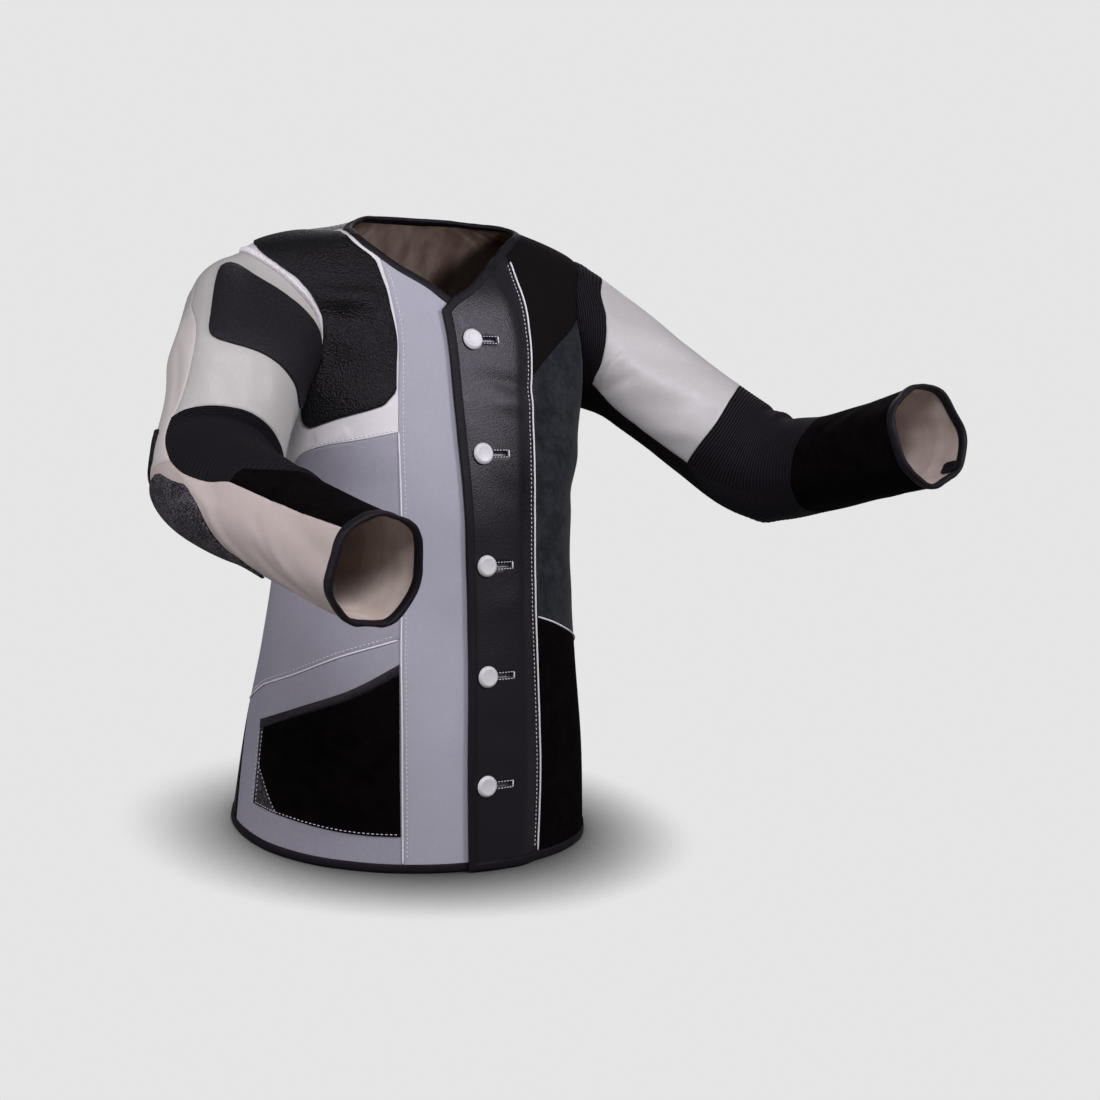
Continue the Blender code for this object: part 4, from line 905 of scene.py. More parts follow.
def shell(patch, lift, thickness, edge, raised, pressed):
    """A closed piece of cloth: points, faces, the patch's point behind each point, slots.
    raised is added to the outer face's height, and pressed to the inner face's."""
    border = patch.border()
    pull = patch.inward(border)
    rim = np.unique(border[:, :2])
    place = np.full(len(patch.uv), -1)
    place[rim] = np.arange(len(rim))
    n, m = len(patch.uv), len(rim)
    high = np.full(n, float(lift)) + raised
    deep = lift - thickness + pressed
    deep = np.minimum(np.broadcast_to(deep, n), high - 0.4 * thickness)
    out, base = patch.out, patch.base
    roll = np.where(patch.fine, 0.3, 1.0)[:, None] * edge.roll
    gap = np.where(patch.fine == JOIN_POINT, 0.1, 0.5)[:, None] * GAP
    drop = np.where(patch.fine == JOIN_POINT, 0.3, 1.0) * edge.drop
    low = np.maximum(high - drop, deep + 0.0002)
    rings = [base + out * high[:, None] + pull * roll,
             (base + out * (high + 0.72 * (low - high))[:, None] + pull * 0.35 * roll)[rim],
             (base + out * low[:, None] + pull * gap)[rim],
             base + out * deep[:, None] + pull * gap]
    a, b = border[:, 0], border[:, 1]
    pa, pb = place[a], place[b]
    first, second, inner = n, n + m, n + 2 * m
    quads = [np.stack(q, 1) for q in ((b, a, first + pa, first + pb),
                                      (first + pb, first + pa, second + pa, second + pb),
                                      (second + pb, second + pa, inner + a, inner + b))]
    faces = (patch.faces.tolist() + quads[0].tolist() + quads[1].tolist() + quads[2].tolist()
             + (patch.faces[:, ::-1] + inner).tolist())
    slots = np.repeat([0, 1], [len(patch.faces) + 3 * len(border), len(patch.faces)])
    source = np.concatenate([np.arange(n), rim, rim, np.arange(n)])
    return np.concatenate(rings), faces, source, slots


def cut_size(flat):
    """Width and length of the smallest rectangle that a flat piece is cut from."""
    best = None
    for turn in np.radians(np.arange(0, 90, 3)):
        x = flat @ (cos(turn), sin(turn))
        y = flat @ (-sin(turn), cos(turn))
        size = (np.ptp(x), np.ptp(y))
        if best is None or size[0] * size[1] < best[0] * best[1]:
            best = size
    return best


FULLEST_CUT = 0.95                       # largest share of its rectangle that a piece fills
STATED_SHARES = (0.31, 0.99)             # between which the stated area's share is kept
SMALLEST_SIDE = 0.011


def declare(thing, patch):
    """Prints the flat piece that the cloth was cut to, with its size in whole millimetres."""
    width, length = sorted(cut_size(patch.sheet.flatten(patch.uv)))
    corners = patch.base[patch.faces]
    area = np.linalg.norm(np.cross(corners[:, 1] - corners[:, 0],
                                   corners[:, 2] - corners[:, 0]), axis=1).sum() / 2
    room = max(1.0, (area / (FULLEST_CUT * width * length)) ** 0.5)
    width, length = (max(np.ceil(side * room * 1000 + 1) / 1000, SMALLEST_SIDE)
                     for side in (width, length))
    area = float(np.clip(area, *(share * width * length for share in STATED_SHARES)))
    print("   %-28s cut %3.0f x %3.0f mm, %5.0f cm2" % (thing.name, width * 1000, length * 1000,
                                                       area * 1e4))


print("shells are ready")

# %% [markdown]
# ## Finishes: what each surface does
# An effect that several finishes share is a node group, built once. Weave crosses two rows of
# threads and roughens them with noise. Grain is the cell pattern of leather. Pebble is the coarse
# moulded skin of the non-slip pads. Nap is the cloudy pile of suede, knit the fine loops of the
# rib, with painted highlight on the ridges of the loops and painted shade in the grooves between,
# and speckle the two-coloured grit of the elbow patch. Unevenness is a slow change of tone that
# drifts at random over everything. Brushed is the streaky nap of the cloth's back.
# In all of them the scale counts cells in a metre, or turns for the weave and the knit.

# %% Effects
NUMBER = "NodeSocketFloat"


def effect(build, inlet=("Scale", 1000.0), outlets=("Shade", "Height")):
    """A node group with one number in and the name of its builder, which gets the helper, the
    number and the place in metres, and returns what goes to the outlets."""
    group = bpy.data.node_groups.new(build.__name__, "ShaderNodeTree")
    label, value = inlet
    group.interface.new_socket(label, in_out="INPUT", socket_type=NUMBER).default_value = value
    for outlet in outlets:
        group.interface.new_socket(outlet, in_out="OUTPUT", socket_type=NUMBER)
    made = Nodes(group)
    enter, leave = (group.nodes.new("NodeGroup" + end) for end in ("Input", "Output"))
    at = made.add("TexCoord").outputs["Object"]
    for outlet, result in zip(outlets, build(made, enter.outputs[label], at)):
        made.link(result, leave.inputs[outlet])
    return group


def flat_place(made, layer):
    """The two numbers of a UV map."""
    spot = made.add("UVMap", uv_map=layer).outputs["UV"]
    return made.add("SeparateXYZ", {0: spot}).outputs[:2]


def weave(made, scale, at):
    turns = made.times(scale, 2 * pi)
    warp, weft = (made.math("SINE", made.times(along, turns)) for along in flat_place(made, "cut"))
    fuzz = made.noise(at, 1300.0, 4.0, 0.65)
    slub = made.noise(at, 260.0, 3.0, 0.5)
    height = made.plus(made.times(made.times(warp, weft), 0.35),
                       made.plus(fuzz, made.times(slub, 0.6)))
    return made.spread(height, 0.35, 1.25), height


def grain(made, scale, at):
    skin = made.cells(at, scale, 0.35)
    fine = made.noise(at, made.times(scale, 1.7), 3.0, 0.6)
    ridges = made.math("ABSOLUTE", made.math("SUBTRACT", made.noise(at, 75.0, 4.0, 0.6), 0.5))
    height = made.math("SUBTRACT", made.plus(made.times(fine, 0.5), made.times(ridges, 1.4)), skin)
    return made.spread(height, -0.35, 0.35), height


def pebble(made, scale, at):
    rough = made.noise(at, made.times(scale, 0.8), 3.0, 0.65)
    height = made.math("SUBTRACT", made.times(rough, 1.1), made.cells(at, scale, 0.25))
    return made.spread(height, -0.15, 0.45), height


def nap(made, scale, at):
    cloud, brush = made.noise(at, 42.0, 5.0, 0.62), made.noise(at, 150.0, 4.0, 0.6)
    both = made.plus(made.times(cloud, 0.6), made.times(brush, 0.4))
    return made.spread(both, 0.36, 0.64), made.noise(at, scale, 3.0, 0.7)


def brushed(made, scale, at):
    drawn = made.add("Mapping", {"Scale": (1, 1, 0.16), "Vector": at}).outputs["Vector"]
    streaks = made.noise(drawn, 40.0, 3.0, 0.5)
    return made.spread(streaks, 0.34, 0.66), made.noise(at, scale, 3.0, 0.7)


def knit(made, scale, at):
    strength, away = flat_place(made, "ribs")
    turns = made.times(made.times(scale, pi), away)
    # The ridges of the knit also set its colour: painted highlight on their tops and painted shade
    # in the grooves.
    crest_and_painted_highlight = made.math("ABSOLUTE", made.math("COSINE", turns))
    crest_and_painted_highlight = made.times(made.math("SUBTRACT", crest_and_painted_highlight, 0.6), strength)
    height = made.plus(crest_and_painted_highlight, made.times(made.noise(at, 900.0, 3.0, 0.65), 0.4))
    return made.spread(height, 0.0, 0.62), height


def speckle(made, scale, at):
    drift = made.times(made.noise(at, 60.0, 2.0, 0.5), 0.18)
    both = made.plus(made.noise(at, scale, 4.0, 0.75), drift)
    return made.spread(both, 0.52, 0.72), both


def unevenness(made, amount, at):
    broad, small = made.noise(at, 5.0, 3.0, 0.5), made.noise(at, 27.0, 4.0, 0.6)
    both = made.math("SUBTRACT", made.plus(made.times(broad, 1.3), made.times(small, 0.7)), 1.0)
    return [made.plus(1.0, made.times(both, amount))]


EFFECTS = {build.__name__: effect(build)
           for build in (weave, grain, pebble, nap, brushed, knit, speckle)}
UNEVENNESS = effect(unevenness, ("Amount", 0.08), ("Tone",))
print("effects:", sorted(EFFECTS))

# %% [markdown]
# ## Finishes: the materials
# Every material places one effect between two colours of its own, multiplies the slow change of
# tone over it, and feeds the effect's height to a Bump node. Roughness varies with the same
# shade. What is the same all over, such as specular level and sheen, is set on the shader.

# %% Materials
def tone(red, green, blue):
    """A colour given from 0 to 255 as it looks, turned into the light that it sends back."""
    linear = [((c / 255 + 0.055) / 1.055) ** 2.4 if c > 10 else c / 255 / 12.92
              for c in (red, green, blue)]
    return (*linear, 1)


Finish = namedtuple("Finish", "name dark light rough effect scale bump depth specular sheen "
                              "uneven")
FINISHES = table(
    Finish,
    ("front_canvas", (167, 167, 179), (180, 180, 192), (0.75, 0.88), "weave",
     1100, 0.30, 0.0004, 0.25, 0.05, 0.05),
    ("side_canvas", (154, 152, 164), (170, 168, 181), (0.75, 0.88), "weave",
     1100, 0.30, 0.0004, 0.25, 0.05, 0.07),
    ("white_leather", (226, 222, 226), (234, 230, 234), (0.42, 0.55), "grain",
     900, 0.25, 0.0004, 0.35, 0.0, 0.02),
    ("grey_leather", (184, 181, 178), (192, 189, 186), (0.36, 0.48), "grain",
     1000, 0.16, 0.0003, 0.40, 0.0, 0.03),
    ("off_white_leather", (206, 199, 195), (214, 207, 203), (0.42, 0.55), "grain",
     1000, 0.16, 0.0003, 0.35, 0.0, 0.03),
    ("beige_leather", (189, 177, 172), (197, 185, 180), (0.45, 0.58), "grain",
     1000, 0.18, 0.0003, 0.30, 0.0, 0.03),
    ("silver_leather", (193, 190, 190), (203, 200, 200), (0.32, 0.44), "grain",
     1100, 0.22, 0.0003, 0.45, 0.0, 0.03),
    ("black_leather", (13, 10, 16), (24, 20, 28), (0.32, 0.42), "grain",
     700, 0.38, 0.0005, 0.48, 0.0, 0.08),
    ("black_canvas", (14, 11, 12), (22, 18, 19), (0.85, 0.95), "weave",
     1100, 0.30, 0.0003, 0.10, 0.0, 0.12),
    ("slate_suede", (32, 34, 39), (48, 51, 56), (0.90, 1.0), "nap",
     1200, 0.35, 0.0005, 0.08, 0.08, 0.12),
    ("black_suede", (5, 3, 4), (10, 7, 8), (0.90, 1.0), "nap",
     1200, 0.30, 0.0004, 0.05, 0.0, 0.12),
    # The rib's light tone is painted highlight on the ridges of the knit, its dark tone painted
    # shade in the grooves.
    ("black_rib", (5, 3, 6), (30, 27, 33), (0.70, 0.85), "knit",
     238, 0.70, 0.0012, 0.20, 0.0, 0.08),
    ("pebbled_pad", (3, 3, 4), (13, 11, 14), (0.38, 0.54), "pebble",
     480, 0.8, 0.0012, 0.28, 0.0, 0.10),
    ("smooth_pad", (20, 17, 22), (34, 31, 38), (0.44, 0.62), "pebble",
     760, 0.60, 0.0010, 0.30, 0.0, 0.10),
    ("speckled_pad", (8, 6, 9), (98, 94, 101), (0.60, 0.80), "speckle",
     620, 0.50, 0.0006, 0.20, 0.0, 0.10),
    ("binding_leather", (15, 12, 17), (24, 21, 28), (0.50, 0.64), "grain",
     900, 0.35, 0.0004, 0.25, 0.0, 0.10),
    ("tape_leather", (24, 22, 26), (36, 34, 39), (0.50, 0.64), "grain",
     900, 0.35, 0.0004, 0.35, 0.0, 0.10),
    ("white_cord", (234, 232, 239), (245, 243, 249), (0.50, 0.65), "weave",
     1500, 0.30, 0.0002, 0.30, 0.05, 0.03),
    ("white_thread", (222, 220, 228), (242, 240, 247), (0.55, 0.70), "weave",
     2500, 0.25, 0.0001, 0.25, 0.10, 0.02),
    ("white_plastic", (214, 213, 217), (226, 225, 229), (0.28, 0.40), "grain",
     700, 0.05, 0.0002, 0.50, 0.0, 0.02),
    ("beige_reverse", (186, 170, 161), (206, 194, 186), (0.80, 0.92), "brushed",
     1300, 0.30, 0.0004, 0.12, 0.0, 0.06),
    # The torso's back is a darker, browner copy of the beige reverse: painted shade inside the
    # neck.
    ("brown_reverse", (132, 110, 99), (172, 151, 138), (0.85, 0.95), "brushed",
     1300, 0.35, 0.0005, 0.10, 0.0, 0.10),
)


LIGHT_TINT = (1.0, 0.94, 1.06, 1)


def make_material(finish):
    material, made, shader = new_material(finish.name)
    surface = made.add("Group", node_tree=EFFECTS[finish.effect])
    surface.inputs["Scale"].default_value = finish.scale
    uneven = made.add("Group", node_tree=UNEVENNESS)
    uneven.inputs["Amount"].default_value = finish.uneven * 2
    shade, height = surface.outputs["Shade"], surface.outputs["Height"]
    between = made.mix(shade, tone(*finish.dark), tone(*finish.light))
    colour = made.add("HueSaturation", {"Color": between,
                                        "Value": uneven.outputs["Tone"]}).outputs["Color"]
    bump = made.add("Bump", {"Strength": finish.bump, "Distance": finish.depth, "Height": height})
    for label, value in (("Base Color", colour), ("Normal", bump.outputs["Normal"]),
                         ("Roughness", made.spread(shade, 0.0, 1.0, *finish.rough[::-1])),
                         ("Specular IOR Level", finish.specular), ("Specular Tint", LIGHT_TINT),
                         ("Sheen Weight", finish.sheen), ("Sheen Roughness", 0.4)):
        made.feed(shader.inputs[label], value)
    MATERIALS[finish.name] = material


for finish in FINISHES:
    make_material(finish)
print("materials:", len(MATERIALS))

# %% [markdown]
# ## Lines of the torso
# Now the seams are drawn. Each knot is an angle and a height. The right front is a long canvas
# panel with a princess seam, a white leather chest and two side panels below it. The left front
# is a black leather placket beside a yoke, a suede chest and a suede lower panel, and the back
# is one piece. Pads and the pocket are outlines on top of the panels.

# %% Torso seams
PLACKET_CORNER = (-5.5, 0.563)
PIPING_TOP = (29.5, 0.627)
HEM_CORNER = (-3.4, HEM)
PRINCESS_TOP = (334.5, 0.617)
UNDERLAP_TOP = (360 + UNDERLAP, 0.556)
LEFT_SIDE, RIGHT_SIDE, RIGHT_SIDE_FOOT = 110.0, 250.0, 261.0
UNDERARM = 240                         # where a side seam meets its armhole
SHOULDER_START = {"left": 90, "right": 105}
SHOULDER_END = 0.645
SIDE_SEAMS = {"left": ((LEFT_SIDE, HEM), (LEFT_SIDE, 0.165)),
              "right": ((RIGHT_SIDE_FOOT, HEM), (256, 0.070), (RIGHT_SIDE, 0.132),
                        (250.3, 0.368))}
NECK = (UNDERLAP_TOP, (358.5, 0.575), (353.5, 0.590), (344.5, 0.605), PRINCESS_TOP,
        (325.5, 0.624), (312.5, 0.632), (298, 0.638), (270, 0.643), (240, 0.646), (180, 0.647),
        (120, 0.646), (90, 0.643), (60, 0.638), (40, 0.633), PIPING_TOP)
PLACKET_TOP = (PIPING_TOP, (16.5, 0.612), (4.5, 0.588), (-1.5, 0.5755), PLACKET_CORNER)
PLACKET_FRONT = (PLACKET_CORNER, (-6.2, 0.45), (-5.6, 0.25), (-5.0, 0.10), HEM_CORNER)
HEM_LINE = (HEM_CORNER, (4, HEM), (UNDERLAP, HEM), (20.5, HEM), (60, HEM), (LEFT_SIDE, HEM),
            (180, HEM), (RIGHT_SIDE_FOOT, HEM), (300, HEM), (336.5, HEM), (356.6, HEM), (364, HEM),
            (360 + UNDERLAP, HEM))
LEFT_FRONT_SEAM = ((20.5, HEM), (21.2, 0.17), (21.5, 0.257), (21.6, 0.32), (20.8, 0.41),
                   (19.5, 0.498), (20, 0.55), (22, 0.59), PIPING_TOP)
PRINCESS = ((336.5, HEM), (333.5, 0.12), (330.6, 0.238), (331, 0.36), (333.6, 0.442),
            (335.6, 0.474), (338.8, 0.53), (340.2, 0.575), (339.4, 0.600), PRINCESS_TOP)
CHEST_BAND = ((333.6, 0.442), (316.5, 0.430), (301, 0.420), (287, 0.407), (276.5, 0.389),
              (262, 0.375), (250.3, 0.368))
RIGHT_DIAGONAL = ((330.6, 0.238), (308, 0.2140), (286, 0.184), (268, 0.161), (RIGHT_SIDE, 0.132))
LEFT_DIAGONAL, DIAGONAL_END = ((19.5, 0.498), (30, 0.522)), 15
LEFT_SUEDE_FOOT = ((21.5, 0.257), (30.5, 0.249), (42, 0.237), (61, 0.217), (85, 0.190),
                   (LEFT_SIDE, 0.165))
SHOULDER_PAD = ((335.4, 0.4815), (330.0, 0.4668), (323.0, 0.4600), (310.5, 0.4495),
                (297.5, 0.4370), (294.0, 0.4350), (291.3, 0.4410), (292.8, 0.4560),
                (296.8, 0.4705), (302.2, 0.4900), (306.8, 0.5065), (309.9, 0.5225),
                (311.2, 0.5345), (312.2, 0.5470), (312.2, 0.5590), (310.8, 0.5700),
                (306.2, 0.5820), (297.2, 0.5935), (288.0, 0.6005), (277.0, 0.6065),
                (264.0, 0.6095), (262.0, 0.6135), (262.0, 0.6300), (279.0, 0.6335),
                (295.5, 0.6345), (311.0, 0.6285), (325.0, 0.6185), (332.0, 0.6125),
                (336.4, 0.6060), (338.2, 0.5970), (339.2, 0.5750), (338.2, 0.5300),
                (335.4, 0.4815))
POCKET_TOP = ((330.4, 0.213), (314, 0.184), (294.5, 0.158), (270, 0.126))
POCKET_TAPE_FOOT = ((330.6, 0.2025), (314, 0.174), (294.5, 0.1485), (270.8, 0.1165))
POCKET_FOOT = ((274, 0.040), (289, 0.041), (306, 0.039), (320, 0.037), (335.0, 0.038))
POCKET_CORNER = ((272.4, 0.086), (289, 0.041))
ZIP_EDGE = ((273.2, 0.1215), (274.8, 0.0770))
BUTTONHOLE = ((-0.0022, 0.0), (-0.0012, 1.0), (0.0285, 1.0), (0.0295, 0.0), (0.0285, -1.0),
              (-0.0012, -1.0))
HOLE_CORNER = 0.0008
print("torso seams: the neck has", len(NECK), "knots and the shoulder pad",
      len(SHOULDER_PAD) - 1)


# %% The torso unrolled
def seam_through(side, phi):
    """Direction between the torso's and the sleeve's outward ones at the armhole."""
    theta, z = armhole(side, phi)
    a = normal(torso, np.array([theta]), np.array([z]))[0]
    b = normal(TUBES[side], np.array([float(phi)]), np.array([0.004]))[0] * -SIDE[side]
    middle = unit(a + b)
    return middle / max(middle @ a, 0.7)


def armhole_angles(side):
    return np.arange(SEAM_START[side], SEAM_START[side] + 361, ARMHOLE_STEP)


heights = np.linspace(-0.01, 0.66, 400)
profile = (torso(60.0, heights) + torso(-60.0, heights) * (-1, 1, 1)) / 2
rise = run_along(profile)
TORSO_ARC = 0.175 * radians(1)     # metres for each degree at the chest


def flatten_torso(uv):
    """Across by the angle, upwards by the length of the profile."""
    return np.stack([uv[..., 0] * TORSO_ARC, np.interp(uv[..., 1], heights, rise)], -1)


def unflatten_torso(flat):
    return np.stack([flat[..., 0] / TORSO_ARC, np.interp(flat[..., 1], rise, heights)], -1)


def button_height(k):
    return TOP_BUTTON - k * BUTTON_PITCH


def angle_beside(x, z):
    """The angle at which the front is x metres beside its middle, at the height z."""
    angles = np.arange(0.0, 24.0, 0.25)
    beside = torso(angles, z)[:, 0]
    return np.interp(x, np.concatenate([-beside[:0:-1], beside]),
                     np.concatenate([-angles[:0:-1], angles]))


ARMHOLE_RINGS = {side: flatten_torso(np.stack([
    armhole(side, armhole_angles(side))[0] % 360, armhole(side, armhole_angles(side))[1]], -1))
    for side in SIDE}


def from_armhole(side, t, z):
    """Distance along the cloth from an armhole."""
    flat = flatten_torso(np.stack([t, z], -1))
    return np.min([np.linalg.norm(flat - point, axis=-1) for point in ARMHOLE_RINGS[side][::2]],
                  axis=0)


ARMHOLE_REST, TORSO_WAVE = 0.014, 0.0010       # the cloth lies still this close to an armhole


def torso_height(t, z):
    """Folds and waves, held still at the armholes."""
    free = smooth(np.minimum(from_armhole("left", t, z), from_armhole("right", t, z))
                  / ARMHOLE_REST)
    return free * (fold_height(TORSO_FOLDS, flatten_torso, t, z)
                   + slow_wave(t, z, 1.0, TORSO_WAVE))


def torso_sheet():
    place = creased(body, torso_height)
    sheet = Sheet(place, flatten_torso, unflatten_torso, TORSO_CELL)
    neck = sheet.rule("neck", "rim", NECK)
    top = sheet.rule("placket_top", "rim", PLACKET_TOP)
    front = sheet.rule("placket_front", "rim", PLACKET_FRONT)
    hem = sheet.rule("hem", "rim", HEM_LINE)
    sheet.rule("underlap", "rim", (HEM_LINE[-1], UNDERLAP_TOP))
    sheet.edge = np.concatenate([neck, top[1:], front[1:], hem[1:]])
    sheet.ends = np.cumsum([0, len(neck) - 1, len(top) + len(front) - 2, len(hem) - 1])
    for name, line in (("left_front", LEFT_FRONT_SEAM), ("princess", PRINCESS),
                       ("chest_band", CHEST_BAND), ("right_diagonal", RIGHT_DIAGONAL),
                       ("suede_foot", LEFT_SUEDE_FOOT)):
        sheet.rule(name, "seam", line)
    for side, ends in SIDE_SEAMS.items():
        angles = armhole_angles(side)
        theta, z = armhole(side, angles)
        ring = np.stack([theta % 360, z], -1)
        sheet.draw(side + "_armhole", "rim", ring)
        for point, phi in zip(ring, angles):
            sheet.joints[tuple(np.round(point, 4))] = seam_through(side, phi)
        foot, crown = (ring[list(angles % 360).index(phi)]
                       for phi in (UNDERARM, SHOULDER_START[side]))
        sheet.rule(side + "_side", "seam", [*ends, foot])
        sheet.rule(side + "_shoulder", "seam", [crown, (crown[0], SHOULDER_END)])
    chest = sheet.lines["left_armhole"][list(armhole_angles("left") % 360).index(DIAGONAL_END)]
    sheet.rule("left_diagonal", "seam", [*LEFT_DIAGONAL, chest])
    sheet.draw("shoulder_pad", "pad", sheet.outline(SHOULDER_PAD))
    for name, line in (("pocket_top", POCKET_TOP), ("pocket_tape", POCKET_TAPE_FOOT),
                       ("pocket_foot", POCKET_FOOT), ("pocket_corner", POCKET_CORNER),
                       ("zip_edge", ZIP_EDGE),
                       ("pocket_right", (POCKET_TOP[0], POCKET_TAPE_FOOT[0], (332.7, 0.120),
                                         POCKET_FOOT[-1]))):
        sheet.rule(name, "pad", line)
    for k, pair in enumerate(((POCKET_TOP[-1], POCKET_TAPE_FOOT[-1]),
                              (POCKET_TAPE_FOOT[-1], POCKET_CORNER[0]),
                              (POCKET_CORNER[0], POCKET_FOOT[0]))):
        sheet.rule(f"pocket_left_{k}", "pad", pair)
    for k in range(BUTTONS):
        z = button_height(k)
        corners = [(angle_beside(x, z), z + share * HOLE_WIDTH / 2)
                   for x, share in BUTTONHOLE + BUTTONHOLE[:1]]
        sheet.draw(f"buttonhole_{k + 1}", "slit", sheet.outline(corners, HOLE_CORNER))
    sheet.divide((-4, 0.006), (371.5, 0.644))
    return sheet


print("the torso sheet:")
trunk = torso_sheet()

# %% [markdown]
# ## Lines of the sleeves
# A sleeve is slit along its long seam and unrolled. The left one has a ribbed shoulder, a silver
# leather panel, a rib elbow and a suede forearm. The right one carries the grey and off-white
# leather, its own rib elbow, and the pads that the sling and the elbow press on.

# %% Sleeve seams
SLEEVE_SEAM = {"left": ((-30, 0), (-31, 0.1), (-35, 0.25), (-37, 0.43), (-30, 0.69), (-28, 1)),
               "right": ((-60, 0), (-60, 1))}
SEAM_STOPS = {"left": (0.05, 0.43, 0.69), "right": (0.45, 0.75)}
LEFT_RIB_EDGE = ((-30.4, 0.05), (-24, 0.058), (-5, 0.090), (11, 0.100), (26, 0.095), (43, 0.080),
                 (60, 0.060), (95, 0.060), (130, 0.070), (150, 0.085))
LEFT_ELBOW_TOP = ((-37, 0.43), (20, 0.44), (52, 0.424), (92, 0.404), (120, 0.402), (150, 0.41),
                  (200, 0.47), (250, 0.525), (287, 0.52), (305, 0.47), (323, 0.43))
RIGHT_RIB_FRONT = ((-60, 0.45), (-35, 0.443), (-12, 0.413), (8, 0.395), (30, 0.376),
                   (50, 0.368), (69, 0.373), (91, 0.380), (106, 0.385), (117, 0.392))
SLEEVE_SEAMS = {
    "left": {
        "rib_edge": LEFT_RIB_EDGE,
        "under_sleeve": ((150, 0), (150, 0.085), (150, 0.25), (150, 0.41)),
        "elbow_top": LEFT_ELBOW_TOP,
        "elbow_foot": ((-30, 0.69), (-8, 0.704), (16, 0.716), (42, 0.732), (66, 0.742),
                       (110, 0.745), (160, 0.735), (220, 0.70), (280, 0.675), (330, 0.69)),
    },
    "right": {
        "cap_edge": ((120, 0), (115, 0.06), (113.5, 0.12), (117, 0.145), (124, 0.172),
                     (134, 0.198), (160, 0.215), (200, 0.20), (225, 0.13), (240, 0)),
        "outer_front": ((117, 0.145), (107, 0.19), (106, 0.27), (109, 0.34), (117, 0.392)),
        "outer_back": ((200, 0.20), (200, 0.33), (200, 0.455)),
        "rib_front": RIGHT_RIB_FRONT,
        "rib_outer": ((117, 0.392), (120.5, 0.43), (124.5, 0.475), (128.5, 0.525)),
        "rib_lower": ((128.5, 0.525), (128, 0.572), (125.5, 0.618), (117, 0.668)),
        "rib_foot": ((117, 0.668), (101, 0.672), (88, 0.70), (72, 0.728), (50, 0.742),
                     (20, 0.75), (-20, 0.75), (-60, 0.75)),
        "strip_edge": ((117, 0.668), (115, 0.72), (112.5, 0.80), (110.5, 0.90), (109, 1)),
        "elbow_line": ((128.5, 0.525), (146, 0.488), (170, 0.462), (200, 0.455), (250, 0.452),
                       (300, 0.45)),
    },
}
SLEEVE_PADS = {
    "left": {
        "cuff_tab": ((203, 0.955), (222, 0.955), (222, 0.992), (203, 0.992), (203, 0.955)),
    },
    "right": {
        "sleeve_pad": ((94, 0.070), (94, 0.100), (94, 0.212), (89, 0.226), (73, 0.228),
                       (49, 0.230), (30, 0.238), (9, 0.252), (-8, 0.272), (-24, 0.262),
                       (-30, 0.20), (-28, 0.07), (-12, 0.030), (8, 0.022), (26, 0.034),
                       (45, 0.044), (66, 0.050), (87, 0.050), (94, 0.070)),
        "elbow_pad": ((144, 0.512), (135, 0.585), (150, 0.622), (164, 0.645), (188, 0.682),
                      (200, 0.748), (212, 0.762), (222, 0.72), (222, 0.61), (214, 0.53),
                      (198, 0.488), (175, 0.484), (158, 0.494), (144, 0.512)),
        "rear_pad": ((133, 0.402), (139, 0.432), (147, 0.470), (162, 0.454), (194, 0.438),
                     (194, 0.390), (165, 0.378), (145, 0.385), (133, 0.402)),
    },
}
PAD_CORNER = 0.0035
SLEEVE_ROWS, TAPE_ROWS, CUFF_POINTS = 130, 4, 97
END_WEIGHTS, END_REACH = (0.02, 1), 0.02       # a line that ends this near a join ends on it
print("sleeve seams:", {side: len(lines) for side, lines in SLEEVE_SEAMS.items()})


# %% The sleeves unrolled
def sleeve_sheet(side):
    form = TUBES[side]
    size = np.array([0.060 * radians(1), form.length])

    def flatten(uv):
        return uv * size

    def height(phi, v):
        """Folds and waves, held still at the armhole, and a cuff that isn't quite round."""
        a = np.radians(phi)
        mouth = smooth((v - 0.80) / 0.2) * (0.0014 * np.sin(4 * a + 0.8) + 0.0010 * np.sin(7 * a))
        return mouth + smooth(v / 0.04) * (fold_height(SLEEVE_FOLDS[side], flatten, phi, v)
                                           + drape_height(DRAPES[side], phi, v)
                                           + slow_wave(phi, v, 0.8, 0.0008))

    place = creased(form, height, -SIDE[side])
    sheet = Sheet(place, flatten, lambda flat: flat / size, SLEEVE_CELL, -SIDE[side])
    angles = armhole_angles(side)
    sheet.draw("armhole", "rim", [(phi, 0) for phi in angles])
    for phi in angles:
        sheet.joints[(float(phi), 0.0)] = seam_through(side, phi)
    row = round(1 - BINDING / form.length, 4)
    v = np.concatenate([np.linspace(0, row, SLEEVE_ROWS), SEAM_STOPS[side],
                        np.linspace(row, 1, TAPE_ROWS)])
    v = np.unique(np.round(v, 4))
    knots = np.array(SLEEVE_SEAM[side], float)
    slit = np.stack([curve(knots[:, 1], knots[:, 0], v) if len(knots) > 2
                     else np.interp(v, knots[:, 1], knots[:, 0]), v], -1)
    sheet.draw("join_1", "join", slit)
    sheet.draw("join_2", "join", slit + (360, 0))
    phi = slit[-1, 0]
    sheet.draw("cuff", "rim", [(a, 1.0) for a in np.linspace(phi, phi + 360, CUFF_POINTS)])
    for name, knots in SLEEVE_SEAMS[side].items():
        line = sheet.rule(name, "seam", knots)
        for end in (0, -1):
            near = np.concatenate([slit, slit + (360, 0), sheet.lines["armhole"]])
            gaps = np.abs(near - line[end]) @ END_WEIGHTS
            if gaps.min() < END_REACH:
                line[end] = near[gaps.argmin()]
    for name, knots in SLEEVE_PADS[side].items():
        sheet.draw(name, "pad", sheet.outline(knots, PAD_CORNER))
    sheet.divide((slit[:, 0].min() + 2, 0.008), (slit[:, 0].max() + 358, 0.995))
    return sheet


SLEEVE_SHEETS = {}
for side in SIDE:
    print("the", side, "sleeve's sheet:")
    SLEEVE_SHEETS[side] = sleeve_sheet(side)
